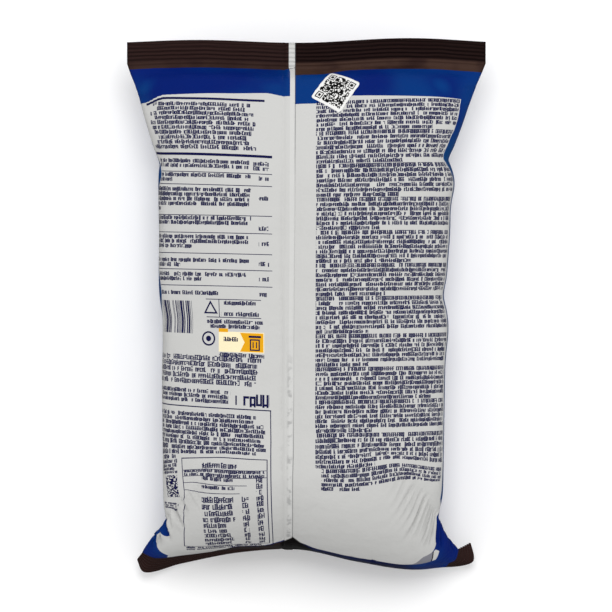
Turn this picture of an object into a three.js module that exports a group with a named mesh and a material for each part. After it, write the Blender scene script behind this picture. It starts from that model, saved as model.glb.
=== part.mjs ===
// A sealed pillow bag of crisps, lying on its printed front with its back and long seam up.
// Millimetres, +X to the bag's right as its back is looked at, +Y towards its top seal, +Z up.
// The bag is one closed film, full of air and crisps, so it is one solid, with a ribbed flat seal
// at each end. A small square code label is stuck to its back, near the top seal.
import * as THREE from "three";

// Driving dimensions of the bag
const PACK_WIDTH = 190; // across the flat top seal
const PACK_LENGTH = 284.6; // between the top edge and the lowest corner, seen from above
const BODY_LENGTH = 254; // between the seals' inner edges, seen from above
const PACK_HEIGHT = 72; // where the bag is fullest
const SEAL_DEPTH = 14;
const SEAL_THICKNESS = 0.9;
const RIB_COUNT = 6;
const RIB_HEIGHT = 0.35;
const WAVE_LEFT = { base: 0.5, height: 0.8, length: 105 }; // how the top edge waves left of the seam
const WAVE_RIGHT = { base: 0, height: 1.3, length: 118 };

// The outline from above: half widths, and the straight slants below the top seal's ends
const BODY_HALF_LEFT = 76.2;
const BODY_HALF_RIGHT = 73.3;
const TAPER_LEFT = 3;
const TAPER_RIGHT = 4.6;
const SLANT_START = 11.5; // below the top edge
const SLANT_LEFT = 54;
const SLANT_RIGHT = 51.5;

// The fullness of the two ends
const TOP_END = 66;
const BOTTOM_END = 50;
const MID_HEIGHT = PACK_HEIGHT / 2;
const FLOOR_PRESS = 7; // how far the belly would pass the floor if nothing flattened it
const FLOOR_BLEND = 2;
const TOP_LIFT = 4; // how far the top seal lies above the bag's middle

// The bottom seal's inner edge from left to right. Each point has its place across the film, its
// position, and the way the seal leaves it: the seal hangs in the middle and spreads at both ends.
const BOTTOM_SEAL = [
  { across: -1.0, at: [-87.6, -130.0, 20.0], way: [-0.22, -0.29, -0.93] },
  { across: -0.9, at: [-80.4, -132.9, 20.0], way: [-0.42, -0.56, -0.71] },
  { across: -0.72, at: [-65.0, -131.4, 17.0], way: [-0.2, -0.35, -0.91] },
  { across: -0.4, at: [-36.0, -128.2, 15.0], way: [0, -0.15, -0.99] },
  { across: 0, at: [-2.0, -128.4, 14.6], way: [0, -0.02, -0.99] },
  { across: 0.3, at: [27.0, -134.9, 14.6], way: [0, 0.08, -0.99] },
  { across: 0.65, at: [58.0, -139.2, 15.5], way: [0.08, 0.08, -0.98] },
  { across: 0.9, at: [77.5, -134.8, 18.0], way: [0.78, -0.06, -0.62] },
  { across: 1.0, at: [81.0, -128.2, 20.0], way: [0.49, 0.21, -0.85] },
];
const BEND_MIDDLE = 60; // how long before the seal the film starts to turn down
const BEND_LEFT = 11;
const BEND_RIGHT = 16;
const EAR_SWELL = 4; // how far the left corner's film bows out above the seal

// The long seam: a lapped strip of film whose free edge faces right
const SEAM_X = -8;
const SEAM_WIDTH = 5;
const SEAM_HEIGHT = 0.9;
const SEAM_VALLEY = 1.2;
const SEAM_PULL = 4; // how deep the seam draws in the bottom end

// The label
const LABEL_SIZE = 19.2;
const LABEL_X = 16.2;
const LABEL_BELOW_TOP = 27.8;
const LABEL_TURN = 30; // degrees, clockwise
const LABEL_THICKNESS = 0.35;
const LABEL_GAP = 0.35;

// How finely the film is divided
const COLUMNS = 32;
const BODY_ROWS = 42;
const ROWS_PER_RIB = 2;
const LABEL_STEPS = 8;

const BODY_TOP = SEAL_DEPTH;
const BODY_BOTTOM = BODY_TOP + BODY_LENGTH;
const TOTAL = BODY_BOTTOM + SEAL_DEPTH;

const radians = (degrees) => (degrees * Math.PI) / 180;
const clamp01 = (v) => Math.min(1, Math.max(0, v));
const mix = (a, b, f) => a + (b - a) * f;
const bell = (v, centre, reach) => Math.exp(-(((v - centre) / reach) ** 2));

// 0 before a, 1 after b, and a smooth turn between them
function ramp(a, b, v) {
  const f = clamp01((v - a) / (b - a));
  return f * f * (3 - 2 * f);
}

// Where the side edge is pinched in or swells: side, distance below the top edge, reach, depth
const PINCHES = [
  { side: 1, at: 62, reach: 4, depth: 0.8 },
  { side: 1, at: 75, reach: 10, depth: -3.0 },
  { side: 1, at: 98, reach: 20, depth: -1.5 },
  { side: 1, at: 135, reach: 7, depth: 1.5 },
  { side: 1, at: 153, reach: 12, depth: -1.4 },
  { side: 1, at: 251, reach: 7, depth: 1.6 },
  { side: -1, at: 63, reach: 5, depth: 0.6 },
  { side: -1, at: 80, reach: 20, depth: -0.8 },
  { side: -1, at: 126, reach: 26, depth: -1.1 },
  { side: -1, at: 157, reach: 14, depth: 0.8 },
  { side: -1, at: 146, reach: 8, depth: 0.8 },
  { side: -1, at: 257, reach: 7, depth: 1.6 },
];

// Folds in the back: a line from one place to another (x, distance below the top edge), with a
// depth that is positive for a ridge and negative for a valley
const FOLDS = [
  { from: [94, 16], to: [58, 38], reach: 4.5, depth: 2.2 },
  { from: [90, 24], to: [72, 58], reach: 4, depth: -1.8 },
  { from: [-94, 16], to: [-62, 40], reach: 4.5, depth: 2.0 },
  { from: [-88, 26], to: [-70, 60], reach: 4, depth: -1.8 },
  { from: [80, 62], to: [52, 58], reach: 4, depth: -2.8 },
  { from: [78, 72], to: [56, 76], reach: 5, depth: 1.4 },
  { from: [-80, 62], to: [-56, 58], reach: 4, depth: -2.4 },
  { from: [78, 135], to: [50, 138], reach: 4.5, depth: -2.6 },
  { from: [-80, 146], to: [-54, 150], reach: 5, depth: -1.8 },
  { from: [-40, 22], to: [-14, 60], reach: 9, depth: -1.6 },
  { from: [60, 246], to: [30, 262], reach: 5, depth: 1.6 },
  { from: [76, 240], to: [48, 252], reach: 5, depth: -2.2 },
  { from: [-76, 240], to: [-46, 254], reach: 5, depth: -2.4 },
];

// The half width of the bag on one side (1 is right, -1 is left) at a distance t below its top edge
function halfWidth(side, t) {
  const body = side > 0 ? BODY_HALF_RIGHT : BODY_HALF_LEFT;
  const taper = (side > 0 ? TAPER_RIGHT : TAPER_LEFT) * (0.5 - t / TOTAL);
  const slant = side > 0 ? SLANT_RIGHT : SLANT_LEFT;
  const shoulder = clamp01((slant - (t - SLANT_START)) / slant);
  let half = mix(body + taper, PACK_WIDTH / 2, shoulder);
  for (const pinch of PINCHES) {
    if (pinch.side === side) half -= pinch.depth * bell(t, pinch.at, pinch.reach);
  }
  return half;
}

// How full the bag is at t, from 0 in the seals to 1 in the body. The back turns down more roundly
// at the bottom end than anywhere else.
function fullness(t, side) {
  const top = clamp01((t - BODY_TOP) / TOP_END);
  const bottom = clamp01((BODY_BOTTOM - t) / BOTTOM_END);
  const topFull = (1 - (1 - top) ** 2) ** 0.8;
  const bottomFull = (1 - (1 - bottom) ** 2) ** (side > 0 ? 0.56 : 0.8);
  return Math.min(topFull, bottomFull);
}

// The distance from a point to a fold's line, and the share of the fold's depth there
function foldDepth(fold, x, t) {
  const [ax, at] = fold.from;
  const [bx, bt] = fold.to;
  const length = (bx - ax) ** 2 + (bt - at) ** 2;
  const along = clamp01(((x - ax) * (bx - ax) + (t - at) * (bt - at)) / length);
  const away = Math.hypot(x - mix(ax, bx, along), t - mix(at, bt, along));
  const fade = 1 - 0.85 * along;
  return fold.depth * fade * Math.exp(-((away / fold.reach) ** 2));
}

// What the back's surface adds to the plain pillow: folds, and the valley that the seam draws
function relief(x, t) {
  let height = 0;
  for (const fold of FOLDS) height += foldDepth(fold, x, t);
  const full = fullness(t, 1);
  const pull = SEAM_PULL * ramp(BODY_BOTTOM - 42, BODY_BOTTOM - 6, t);
  const valley = (SEAM_VALLEY * full + pull * Math.sqrt(full)) * bell(x, SEAM_X, 11);
  return height * Math.sqrt(full) - valley;
}

// The seam's own height above the film: it rises on the left and ends in an edge on the right
function seamHeight(x) {
  const left = SEAM_X - SEAM_WIDTH / 2;
  const right = SEAM_X + SEAM_WIDTH / 2;
  if (x < left - 0.6 || x > right + 0.01) return 0;
  return SEAM_HEIGHT * ramp(left - 0.6, left + 0.6, x);
}

// A value between the points of a list, on a smooth curve through them
function through(list, across, pick) {
  let i = 0;
  while (i < list.length - 2 && across > list[i + 1].across) i += 1;
  const from = list[i];
  const to = list[i + 1];
  const before = list[Math.max(0, i - 1)];
  const after = list[Math.min(list.length - 1, i + 2)];
  const span = to.across - from.across;
  const f = clamp01((across - from.across) / span);
  const startSlope = (pick(to) - pick(before)) / (to.across - before.across);
  const endSlope = (pick(after) - pick(from)) / (after.across - from.across);
  const f2 = f * f;
  const f3 = f2 * f;
  return (
    (2 * f3 - 3 * f2 + 1) * pick(from) +
    (f3 - 2 * f2 + f) * span * startSlope +
    (3 * f2 - 2 * f3) * pick(to) +
    (f3 - f2) * span * endSlope
  );
}

function alongSeal(across, key) {
  return new THREE.Vector3(
    through(BOTTOM_SEAL, across, (p) => p[key][0]),
    through(BOTTOM_SEAL, across, (p) => p[key][1]),
    through(BOTTOM_SEAL, across, (p) => p[key][2]),
  );
}

// The middle surface between back and front at a place across the film, from -1 to 1: its position,
// and the way it faces
function middle(across, t) {
  const half = halfWidth(across < 0 ? -1 : 1, t);
  const x = across * half;
  const lift = TOP_LIFT * (1 - ramp(0, 70, t));
  const kind = x < -5 ? WAVE_LEFT : WAVE_RIGHT;
  const turn = (2 * Math.PI * (x + 5)) / kind.length;
  const wave = (kind.base + kind.height * Math.cos(turn)) * (1 - ramp(8, 40, t));
  const plain = new THREE.Vector3(x, PACK_LENGTH / 2 - t - wave, MID_HEIGHT + lift + wave);
  const up = new THREE.Vector3(0, 0, 1);
  const end = BODY_BOTTOM - t;
  const outer = Math.abs(across) ** 3;
  const bend = mix(BEND_MIDDLE, across < 0 ? BEND_LEFT : BEND_RIGHT, outer);
  if (end > bend) return { place: plain, facing: up };
  const sealPlace = alongSeal(across, "at");
  const way = alongSeal(across, "way").normalize();
  const sidewards = alongSeal(Math.min(1, across + 0.02), "at");
  sidewards.sub(alongSeal(Math.max(-1, across - 0.02), "at"));
  const facing = new THREE.Vector3().crossVectors(way, sidewards).normalize();
  if (end <= 0) return { place: sealPlace.addScaledVector(way, -end), facing };
  const arrival = new THREE.Vector3(way.x * 0.5, -0.5, -0.5 * (1 - outer));
  const nearSeal = sealPlace.addScaledVector(arrival, -end);
  const share = 1 - ramp(0, bend, end);
  plain.lerp(nearSeal, share);
  if (across < 0) plain.x -= EAR_SWELL * outer * Math.sin(Math.PI * Math.sqrt(share));
  up.lerp(facing, 1 - ramp(0, 14, end)).normalize();
  return { place: plain, facing: up };
}

// A height above the floor with the belly pressed flat
function rested(z) {
  if (z > FLOOR_BLEND) return z;
  if (z < -FLOOR_BLEND) return 0;
  return (z + FLOOR_BLEND) ** 2 / (4 * FLOOR_BLEND);
}

// A point of the film. theta runs from 0 at the right edge to pi at the left one, and side is 1 for
// the back and -1 for the front. fixedX, where given, is a place across the back that has its own
// column, as the seam's edges have.
function filmPoint(theta, side, t, fixedX, lift = 0) {
  const full = fullness(t, side);
  const round = ramp(0, 0.95, full);
  const widthPower = 2 + 0.5 * round;
  const heightPower = 1 + 0.95 * round;
  let angle = theta;
  if (fixedX !== undefined) {
    const share = Math.abs(fixedX) / halfWidth(Math.sign(fixedX), t);
    angle = Math.acos(Math.sign(fixedX) * share ** (widthPower / 2));
  }
  const cosine = Math.cos(angle);
  const across = Math.sign(cosine) * Math.abs(cosine) ** (2 / widthPower);
  const x = across * halfWidth(across < 0 ? -1 : 1, t);
  const sine = Math.abs(Math.sin(angle));
  const edge = Math.sqrt(sine);
  const belly = side > 0 ? MID_HEIGHT : MID_HEIGHT + FLOOR_PRESS;
  let swell = full * belly * sine ** (2 / heightPower);
  if (side > 0) swell += relief(x, t) * edge;
  const ribPlace = t < BODY_TOP ? t : TOTAL - t;
  const inSeal = 1 - ramp(SEAL_DEPTH - 1.5, SEAL_DEPTH, ribPlace);
  const rib = RIB_HEIGHT * inSeal * Math.cos((2 * Math.PI * RIB_COUNT * ribPlace) / SEAL_DEPTH);
  const skin = side > 0 ? SEAL_THICKNESS / 2 + seamHeight(x) + lift : SEAL_THICKNESS / 2;
  const { place, facing } = middle(across, t);
  place.z += side * swell;
  place.addScaledVector(facing, side * skin * edge + rib);
  place.z = rested(place.z);
  return place;
}

// The columns across one face, from the right edge to the left one. The seam's edges have their own.
function columns() {
  const seamEdges = [2.62, 2.5, 0, -2.0, -3.2].map((d) => SEAM_X + (d * SEAM_WIDTH) / 5);
  const list = [];
  let seamDone = false;
  for (let i = 0; i <= COLUMNS; i += 1) {
    const theta = (Math.PI * i) / COLUMNS;
    const nearSeam = Math.abs(Math.cos(theta) * BODY_HALF_LEFT - SEAM_X) < 5.5;
    if (!nearSeam) list.push({ theta });
    else if (!seamDone) {
      seamDone = true;
      for (const fixedX of seamEdges) list.push({ theta, fixedX });
    }
  }
  return list;
}

// The rows along the bag: fine in the ribbed seals, closer together at the body's ends
function rows() {
  const list = [];
  const ribRows = RIB_COUNT * ROWS_PER_RIB;
  for (let i = 0; i < ribRows; i += 1) list.push((SEAL_DEPTH * i) / ribRows);
  for (let i = 0; i <= BODY_ROWS; i += 1) {
    const f = i / BODY_ROWS;
    const eased = f - (0.55 * Math.sin(2 * Math.PI * f)) / (2 * Math.PI);
    list.push(BODY_TOP + BODY_LENGTH * eased);
  }
  for (let i = 1; i <= ribRows; i += 1) list.push(BODY_BOTTOM + (SEAL_DEPTH * i) / ribRows);
  return list;
}

// A closed geometry from points and triangles
function solidGeometry(points, triangles) {
  const positions = new Float32Array(points.length * 3);
  points.forEach((p, i) => p.toArray(positions, i * 3));
  const geometry = new THREE.BufferGeometry();
  geometry.setAttribute("position", new THREE.BufferAttribute(positions, 3));
  geometry.setIndex(triangles);
  geometry.computeVertexNormals();
  return geometry;
}

// The whole film: a ring of points for each row, joined row to row, and closed across both ends
function bagGeometry() {
  const across = columns();
  const along = rows();
  const last = across.length - 1;
  const ringSize = 2 * last;
  const points = [];
  for (const t of along) {
    for (const c of across) points.push(filmPoint(c.theta, 1, t, c.fixedX));
    for (let i = last - 1; i > 0; i -= 1) {
      points.push(filmPoint(across[i].theta, -1, t, across[i].fixedX));
    }
  }
  const triangles = [];
  for (let r = 0; r < along.length - 1; r += 1) {
    for (let i = 0; i < ringSize; i += 1) {
      const a = r * ringSize + i;
      const b = r * ringSize + ((i + 1) % ringSize);
      triangles.push(a, b, b + ringSize, a, b + ringSize, a + ringSize);
    }
  }
  const end = (along.length - 1) * ringSize;
  for (let i = 0; i < last; i += 1) {
    const upper = i;
    const lower = (ringSize - i) % ringSize;
    const nextUpper = i + 1;
    const nextLower = ringSize - i - 1;
    if (upper !== lower) {
      triangles.push(upper, lower, nextUpper);
      triangles.push(end + upper, end + nextUpper, end + lower);
    }
    if (nextUpper !== nextLower) {
      triangles.push(lower, nextLower, nextUpper);
      triangles.push(end + lower, end + nextUpper, end + nextLower);
    }
  }
  return solidGeometry(points, triangles);
}

// A point above the back, at a place seen from above
function backPoint(x, t, lift) {
  return filmPoint(0, 1, t, Math.abs(x) < 0.01 ? 0.01 : x, lift);
}

// The label: a thin tile that follows the film under it
function labelGeometry() {
  const step = 2;
  const above = backPoint(LABEL_X, LABEL_BELOW_TOP - step, 0);
  const below = backPoint(LABEL_X, LABEL_BELOW_TOP + step, 0);
  const shortening = (2 * step) / above.distanceTo(below);
  const turn = radians(LABEL_TURN);
  const points = [];
  for (const lift of [LABEL_GAP + LABEL_THICKNESS, LABEL_GAP]) {
    for (let j = 0; j <= LABEL_STEPS; j += 1) {
      for (let i = 0; i <= LABEL_STEPS; i += 1) {
        const p = (i / LABEL_STEPS - 0.5) * LABEL_SIZE;
        const q = (j / LABEL_STEPS - 0.5) * LABEL_SIZE;
        const x = LABEL_X + p * Math.cos(turn) - q * Math.sin(turn);
        const t = LABEL_BELOW_TOP + (p * Math.sin(turn) + q * Math.cos(turn)) * shortening;
        points.push(backPoint(x, t, lift));
      }
    }
  }
  const side = LABEL_STEPS + 1;
  const sheet = side * side;
  const triangles = [];
  for (let j = 0; j < LABEL_STEPS; j += 1) {
    for (let i = 0; i < LABEL_STEPS; i += 1) {
      const a = j * side + i;
      triangles.push(a, a + side, a + side + 1, a, a + side + 1, a + 1);
      const b = a + sheet;
      triangles.push(b, b + side + 1, b + side, b, b + 1, b + side + 1);
    }
  }
  const rim = [];
  for (let i = 0; i < LABEL_STEPS; i += 1) rim.push(i);
  for (let j = 0; j < LABEL_STEPS; j += 1) rim.push(j * side + LABEL_STEPS);
  for (let i = LABEL_STEPS; i > 0; i -= 1) rim.push(LABEL_STEPS * side + i);
  for (let j = LABEL_STEPS; j > 0; j -= 1) rim.push(j * side);
  rim.forEach((a, k) => {
    const b = rim[(k + 1) % rim.length];
    triangles.push(a, b, b + sheet, a, b + sheet, a + sheet);
  });
  return solidGeometry(points, triangles);
}

const filmMaterial = new THREE.MeshStandardMaterial({
  color: new THREE.Color(0.66, 0.66, 0.66),
  roughness: 0.38,
  metalness: 0,
});
const labelMaterial = new THREE.MeshStandardMaterial({
  color: new THREE.Color(0.85, 0.85, 0.84),
  roughness: 0.5,
  metalness: 0,
});

const bag = new THREE.Mesh(bagGeometry(), filmMaterial);
bag.name = "bag";
const label = new THREE.Mesh(labelGeometry(), labelMaterial);
label.name = "label";

const group = new THREE.Group();
group.add(bag, label);

// The origin is on the floor, under the middle of the whole
const whole = new THREE.Box3().setFromObject(bag);
const centre = whole.getCenter(new THREE.Vector3());
group.position.set(-centre.x, -centre.y, -whole.min.z);

export default group;
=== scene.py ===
"""A sealed pillow bag of crisps that lies on its front, with its printed back and long seam up.

The bag is one closed film: a ribbed flat seal at each end, a lapped seam down the back and a full
body between them. Its surface is worked out from the same sizes as the CAD solid, on a fine grid, and then
relaxed as a film that can't stretch, which gives it its creases. The camera looks straight down.
Metres in Blender; the film's own sizes are in millimetres.
"""

import logging
import math
from dataclasses import dataclass, field
from enum import Enum

import bpy
import numpy as np
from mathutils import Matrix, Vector

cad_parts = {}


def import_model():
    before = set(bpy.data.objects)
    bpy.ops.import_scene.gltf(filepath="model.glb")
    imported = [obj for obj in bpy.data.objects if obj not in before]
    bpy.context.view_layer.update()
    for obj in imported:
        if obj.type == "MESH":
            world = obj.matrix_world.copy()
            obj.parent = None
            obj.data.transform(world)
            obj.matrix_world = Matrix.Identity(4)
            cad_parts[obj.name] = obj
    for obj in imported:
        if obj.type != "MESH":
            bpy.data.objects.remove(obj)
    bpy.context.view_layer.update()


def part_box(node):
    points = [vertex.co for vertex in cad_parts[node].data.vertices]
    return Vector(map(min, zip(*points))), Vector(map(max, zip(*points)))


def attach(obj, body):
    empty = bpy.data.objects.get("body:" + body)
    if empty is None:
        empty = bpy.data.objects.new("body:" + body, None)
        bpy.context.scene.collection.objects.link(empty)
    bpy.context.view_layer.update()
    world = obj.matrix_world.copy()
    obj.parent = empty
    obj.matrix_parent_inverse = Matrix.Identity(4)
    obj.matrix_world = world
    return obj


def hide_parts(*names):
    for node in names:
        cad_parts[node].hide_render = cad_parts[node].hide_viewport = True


Colour = tuple[float, float, float]

LOG = logging.getLogger("bag")
MM = 0.001


class Side(Enum):
    """The two faces of the flat bag."""

    BACK = 1
    FRONT = -1


class Type(Enum):
    """The kinds of small print: row pitch and letter advance in mm, stroke weight as a share of the
    advance, and a number that sets its random strokes."""

    FINE = (2.47, 1.12, 0.6, 3.0)
    HEAD = (2.65, 1.3, 0.54, 11.0)
    LOOSE = (3.1, 1.3, 0.5, 23.0)
    WIDE = (4.1, 1.3, 0.5, 31.0)
    FIGURE = (7.1, 3.4, 0.34, 52.0)


def ramp(start: float, stop: float, value: np.ndarray) -> np.ndarray:
    """Turns smoothly from 0 at start to 1 at stop, as 3f^2 - 2f^3.

    Args:
        start: The value where the result is 0.
        stop: The value where the result is 1.
        value: The values.

    Returns:
        The result for each value.
    """
    f = np.clip((value - start) / (stop - start), 0.0, 1.0)
    return f * f * (3 - 2 * f)


def mix(first: np.ndarray, second: np.ndarray, share: np.ndarray) -> np.ndarray:
    """Goes from first to second in a straight line.

    Args:
        first: The result at share 0.
        second: The result at share 1.
        share: How far along, from 0 to 1.

    Returns:
        The mixed values.
    """
    return first + (second - first) * share


def bell(value: np.ndarray, centre: float, reach: float) -> np.ndarray:
    """Falls off from 1 at centre, as exp(-((value - centre) / reach)^2).

    Args:
        value: The values.
        centre: Where the result is 1.
        reach: How far away it has fallen to 0.37.

    Returns:
        The result for each value.
    """
    return np.exp(-(((value - centre) / reach) ** 2))


def through(places: np.ndarray, values: np.ndarray, at: np.ndarray) -> np.ndarray:
    """Reads a smooth curve through points: a cubic between neighbours, with the slope at each point
    taken from the points on both sides of it.

    Args:
        places: The points' places, rising.
        values: The points' values.
        at: Where to read the curve.

    Returns:
        The curve's value at each place.
    """
    inner = (values[2:] - values[:-2]) / (places[2:] - places[:-2])
    first = (values[1] - values[0]) / (places[1] - places[0])
    last = (values[-1] - values[-2]) / (places[-1] - places[-2])
    slopes = np.concatenate([[first], inner, [last]])
    i = np.clip(np.searchsorted(places, at, side="right") - 1, 0, len(places) - 2)
    span = places[i + 1] - places[i]
    f = np.clip((at - places[i]) / span, 0.0, 1.0)
    f2 = f * f
    f3 = f2 * f
    return (
        (2 * f3 - 3 * f2 + 1) * values[i]
        + (f3 - 2 * f2 + f) * span * slopes[i]
        + (3 * f2 - 2 * f3) * values[i + 1]
        + (f3 - f2) * span * slopes[i + 1]
    )


def unit(vectors: np.ndarray) -> np.ndarray:
    """Brings vectors to length 1.

    Args:
        vectors: Vectors along the last axis.

    Returns:
        The unit vectors.
    """
    return vectors / np.maximum(np.linalg.norm(vectors, axis=-1, keepdims=True), 1e-9)


def grid_normals(points: np.ndarray) -> np.ndarray:
    """Works out the outward normals of a grid whose columns meet, as the cross product of the steps
    to each point's neighbours round the bag and down it.

    Args:
        points: Positions by row and column.

    Returns:
        Unit vectors by row and column.
    """
    down = np.gradient(points, axis=0)
    around = np.roll(points, -1, axis=1) - np.roll(points, 1, axis=1)
    return unit(np.cross(around, down))


@dataclass(frozen=True)
class Pinch:
    """A place where a side edge is drawn in, or swells where the depth is negative. Side 1 is the
    right one and -1 the left one, and the place is a distance below the top edge, in mm."""

    side: int
    at: float
    reach: float
    depth: float


@dataclass(frozen=True)
class Fold:
    """A soft fold in the back, from one (x, distance below the top edge) to another, in mm.

    A ridge has a positive depth and a valley a negative one. It fades towards its far end.
    """

    start: tuple[float, float]
    stop: tuple[float, float]
    reach: float
    depth: float
    fade: float = 0.85

    def height(self, x: np.ndarray, t: np.ndarray) -> np.ndarray:
        """Works out the fold's height: depth (1 - fade f) exp(-(d / reach)^2), with d the distance
        from the fold's line and f how far along it.

        Args:
            x: Places across the bag.
            t: Distances below the top edge.

        Returns:
            The heights in mm.
        """
        (ax, at), (bx, bt) = self.start, self.stop
        length = (bx - ax) ** 2 + (bt - at) ** 2
        along = np.clip(((x - ax) * (bx - ax) + (t - at) * (bt - at)) / length, 0.0, 1.0)
        away = np.hypot(x - mix(ax, bx, along), t - mix(at, bt, along))
        return self.depth * (1 - self.fade * along) * bell(away, 0.0, self.reach)


@dataclass(frozen=True)
class SealPoint:
    """A point of the bottom seal's inner edge: its place across, its position and the seal's way."""

    across: float
    at: tuple[float, float, float]
    way: tuple[float, float, float]


@dataclass(frozen=True)
class Pillow:
    """The bag's plain form in mm, before its film is relaxed. A pair is for left and right, in that
    order."""

    pack_width: float = 190.0
    pack_length: float = 284.6
    body_length: float = 254.0
    pack_height: float = 72.0
    seal_depth: float = 14.0
    film_thickness: float = 0.5
    rib_count: int = 6
    rib_height: float = 0.35
    wave_base: tuple[float, float] = (0.5, 0.0)
    wave_height: tuple[float, float] = (0.8, 1.3)
    wave_length: tuple[float, float] = (105.0, 118.0)
    wave_x: float = -5.0
    wave_fade: tuple[float, float] = (8.0, 40.0)
    body_half: tuple[float, float] = (76.2, 73.3)
    taper: tuple[float, float] = (3.0, 4.6)
    slant_start: float = 11.5
    slant: tuple[float, float] = (54.0, 51.5)
    top_end: float = 66.0
    bottom_end: float = 50.0
    end_power: float = 0.8
    back_end_power: float = 0.56
    round_from: float = 0.95
    side_power: float = 0.5
    swell_power: float = 0.95
    floor_press: float = 7.0
    floor_blend: float = 2.0
    top_lift: float = 4.0
    lift_fade: float = 70.0
    bend_middle: float = 60.0
    bend_side: tuple[float, float] = (11.0, 16.0)
    turn_length: float = 14.0
    arrival: float = 0.5
    ear_swell: float = 4.0
    seam_x: float = -8.0
    seam_pull: float = 4.0
    seam_pull_from: float = 42.0
    seam_pull_to: float = 6.0
    seam_valley: float = 1.2
    seam_reach: float = 11.0
    pinches: tuple[Pinch, ...] = (
        Pinch(1, 62, 4, 0.8),
        Pinch(1, 75, 10, -3.0),
        Pinch(1, 98, 20, -1.5),
        Pinch(1, 135, 7, 1.5),
        Pinch(1, 153, 12, -1.4),
        Pinch(1, 251, 7, 1.6),
        Pinch(-1, 63, 5, 0.6),
        Pinch(-1, 80, 20, -0.8),
        Pinch(-1, 126, 26, -1.1),
        Pinch(-1, 157, 14, 0.8),
        Pinch(-1, 146, 8, 0.8),
        Pinch(-1, 257, 7, 1.6),
    )
    folds: tuple[Fold, ...] = (
        Fold((94, 16), (58, 38), 4.5, 2.2),
        Fold((90, 24), (72, 58), 4, -1.8),
        Fold((-94, 16), (-62, 40), 4.5, 2.0),
        Fold((-88, 26), (-70, 60), 4, -1.8),
        Fold((80, 62), (52, 58), 4, -2.8),
        Fold((78, 72), (56, 76), 5, 1.4),
        Fold((-80, 62), (-56, 58), 4, -2.4),
        Fold((78, 135), (50, 138), 4.5, -2.6),
        Fold((-80, 146), (-54, 150), 5, -1.8),
        Fold((-40, 22), (-14, 60), 9, -1.6),
        Fold((60, 246), (30, 262), 5, 1.6),
        Fold((76, 240), (48, 252), 5, -2.2),
        Fold((-76, 240), (-46, 254), 5, -2.4),
    )
    bottom_seal: tuple[SealPoint, ...] = (
        SealPoint(-1.0, (-87.6, -130.0, 20.0), (-0.22, -0.29, -0.93)),
        SealPoint(-0.9, (-80.4, -132.9, 20.0), (-0.42, -0.56, -0.71)),
        SealPoint(-0.72, (-65.0, -131.4, 17.0), (-0.2, -0.35, -0.91)),
        SealPoint(-0.4, (-36.0, -128.2, 15.0), (0.0, -0.15, -0.99)),
        SealPoint(0.0, (-2.0, -128.4, 14.6), (0.0, -0.02, -0.99)),
        SealPoint(0.3, (27.0, -134.9, 14.6), (0.0, 0.08, -0.99)),
        SealPoint(0.65, (58.0, -139.2, 15.5), (0.08, 0.08, -0.98)),
        SealPoint(0.9, (77.5, -134.8, 18.0), (0.78, -0.06, -0.62)),
        SealPoint(1.0, (81.0, -128.2, 20.0), (0.49, 0.21, -0.85)),
    )

    @property
    def body_bottom(self) -> float:
        """How far below the top edge the body ends."""
        return self.seal_depth + self.body_length

    @property
    def total(self) -> float:
        """The length from cut edge to cut edge, seen from above."""
        return self.body_bottom + self.seal_depth

    def half_width(self, right: np.ndarray, t: np.ndarray) -> np.ndarray:
        """Works out the bag's half width: a straight slant below the top seal, then a body that
        tapers a little, less each pinch.

        Args:
            right: Whether each place is on the right.
            t: Distances below the top edge.

        Returns:
            The half widths.
        """
        body = np.where(right, self.body_half[1], self.body_half[0])
        taper = np.where(right, self.taper[1], self.taper[0])
        slant = np.where(right, self.slant[1], self.slant[0])
        shoulder = np.clip((slant - (t - self.slant_start)) / slant, 0.0, 1.0)
        half = mix(body + taper * (0.5 - t / self.total), self.pack_width / 2, shoulder)
        for pinch in self.pinches:
            here = np.where(right, 1, -1) == pinch.side
            half = half - here * pinch.depth * bell(t, pinch.at, pinch.reach)
        return half

    def fullness(self, side: Side, t: np.ndarray) -> np.ndarray:
        """Works out how full the bag is, as (1 - (1 - f)^2)^p at each end.

        Args:
            side: The face.
            t: Distances below the top edge.

        Returns:
            0 in the seals to 1 in the body.
        """
        top = np.clip((t - self.seal_depth) / self.top_end, 0.0, 1.0)
        bottom = np.clip((self.body_bottom - t) / self.bottom_end, 0.0, 1.0)
        power = self.back_end_power if side is Side.BACK else self.end_power
        return np.minimum((1 - (1 - top) ** 2) ** self.end_power, (1 - (1 - bottom) ** 2) ** power)

    def relief(self, x: np.ndarray, t: np.ndarray) -> np.ndarray:
        """Adds up the back's folds and the valley that the seam draws.

        Args:
            x: Places across the bag.
            t: Distances below the top edge.

        Returns:
            The heights in mm.
        """
        full = self.fullness(Side.BACK, t)
        folds = sum(fold.height(x, t) for fold in self.folds)
        start, stop = self.body_bottom - self.seam_pull_from, self.body_bottom - self.seam_pull_to
        pull = self.seam_pull * ramp(start, stop, t)
        valley = self.seam_valley * full + pull * np.sqrt(full)
        valley = valley * bell(x, self.seam_x, self.seam_reach)
        return folds * np.sqrt(full) - valley

    def along_seal(self, across: np.ndarray, way: bool) -> np.ndarray:
        """Reads the bottom seal's inner edge.

        Args:
            across: Places across the film, from -1 to 1.
            way: Whether to read the seal's way in place of its position.

        Returns:
            A vector for each place.
        """
        places = np.array([p.across for p in self.bottom_seal])
        rows = np.array([p.way if way else p.at for p in self.bottom_seal])
        return np.stack([through(places, rows[:, k], across) for k in range(3)], axis=-1)

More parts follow.
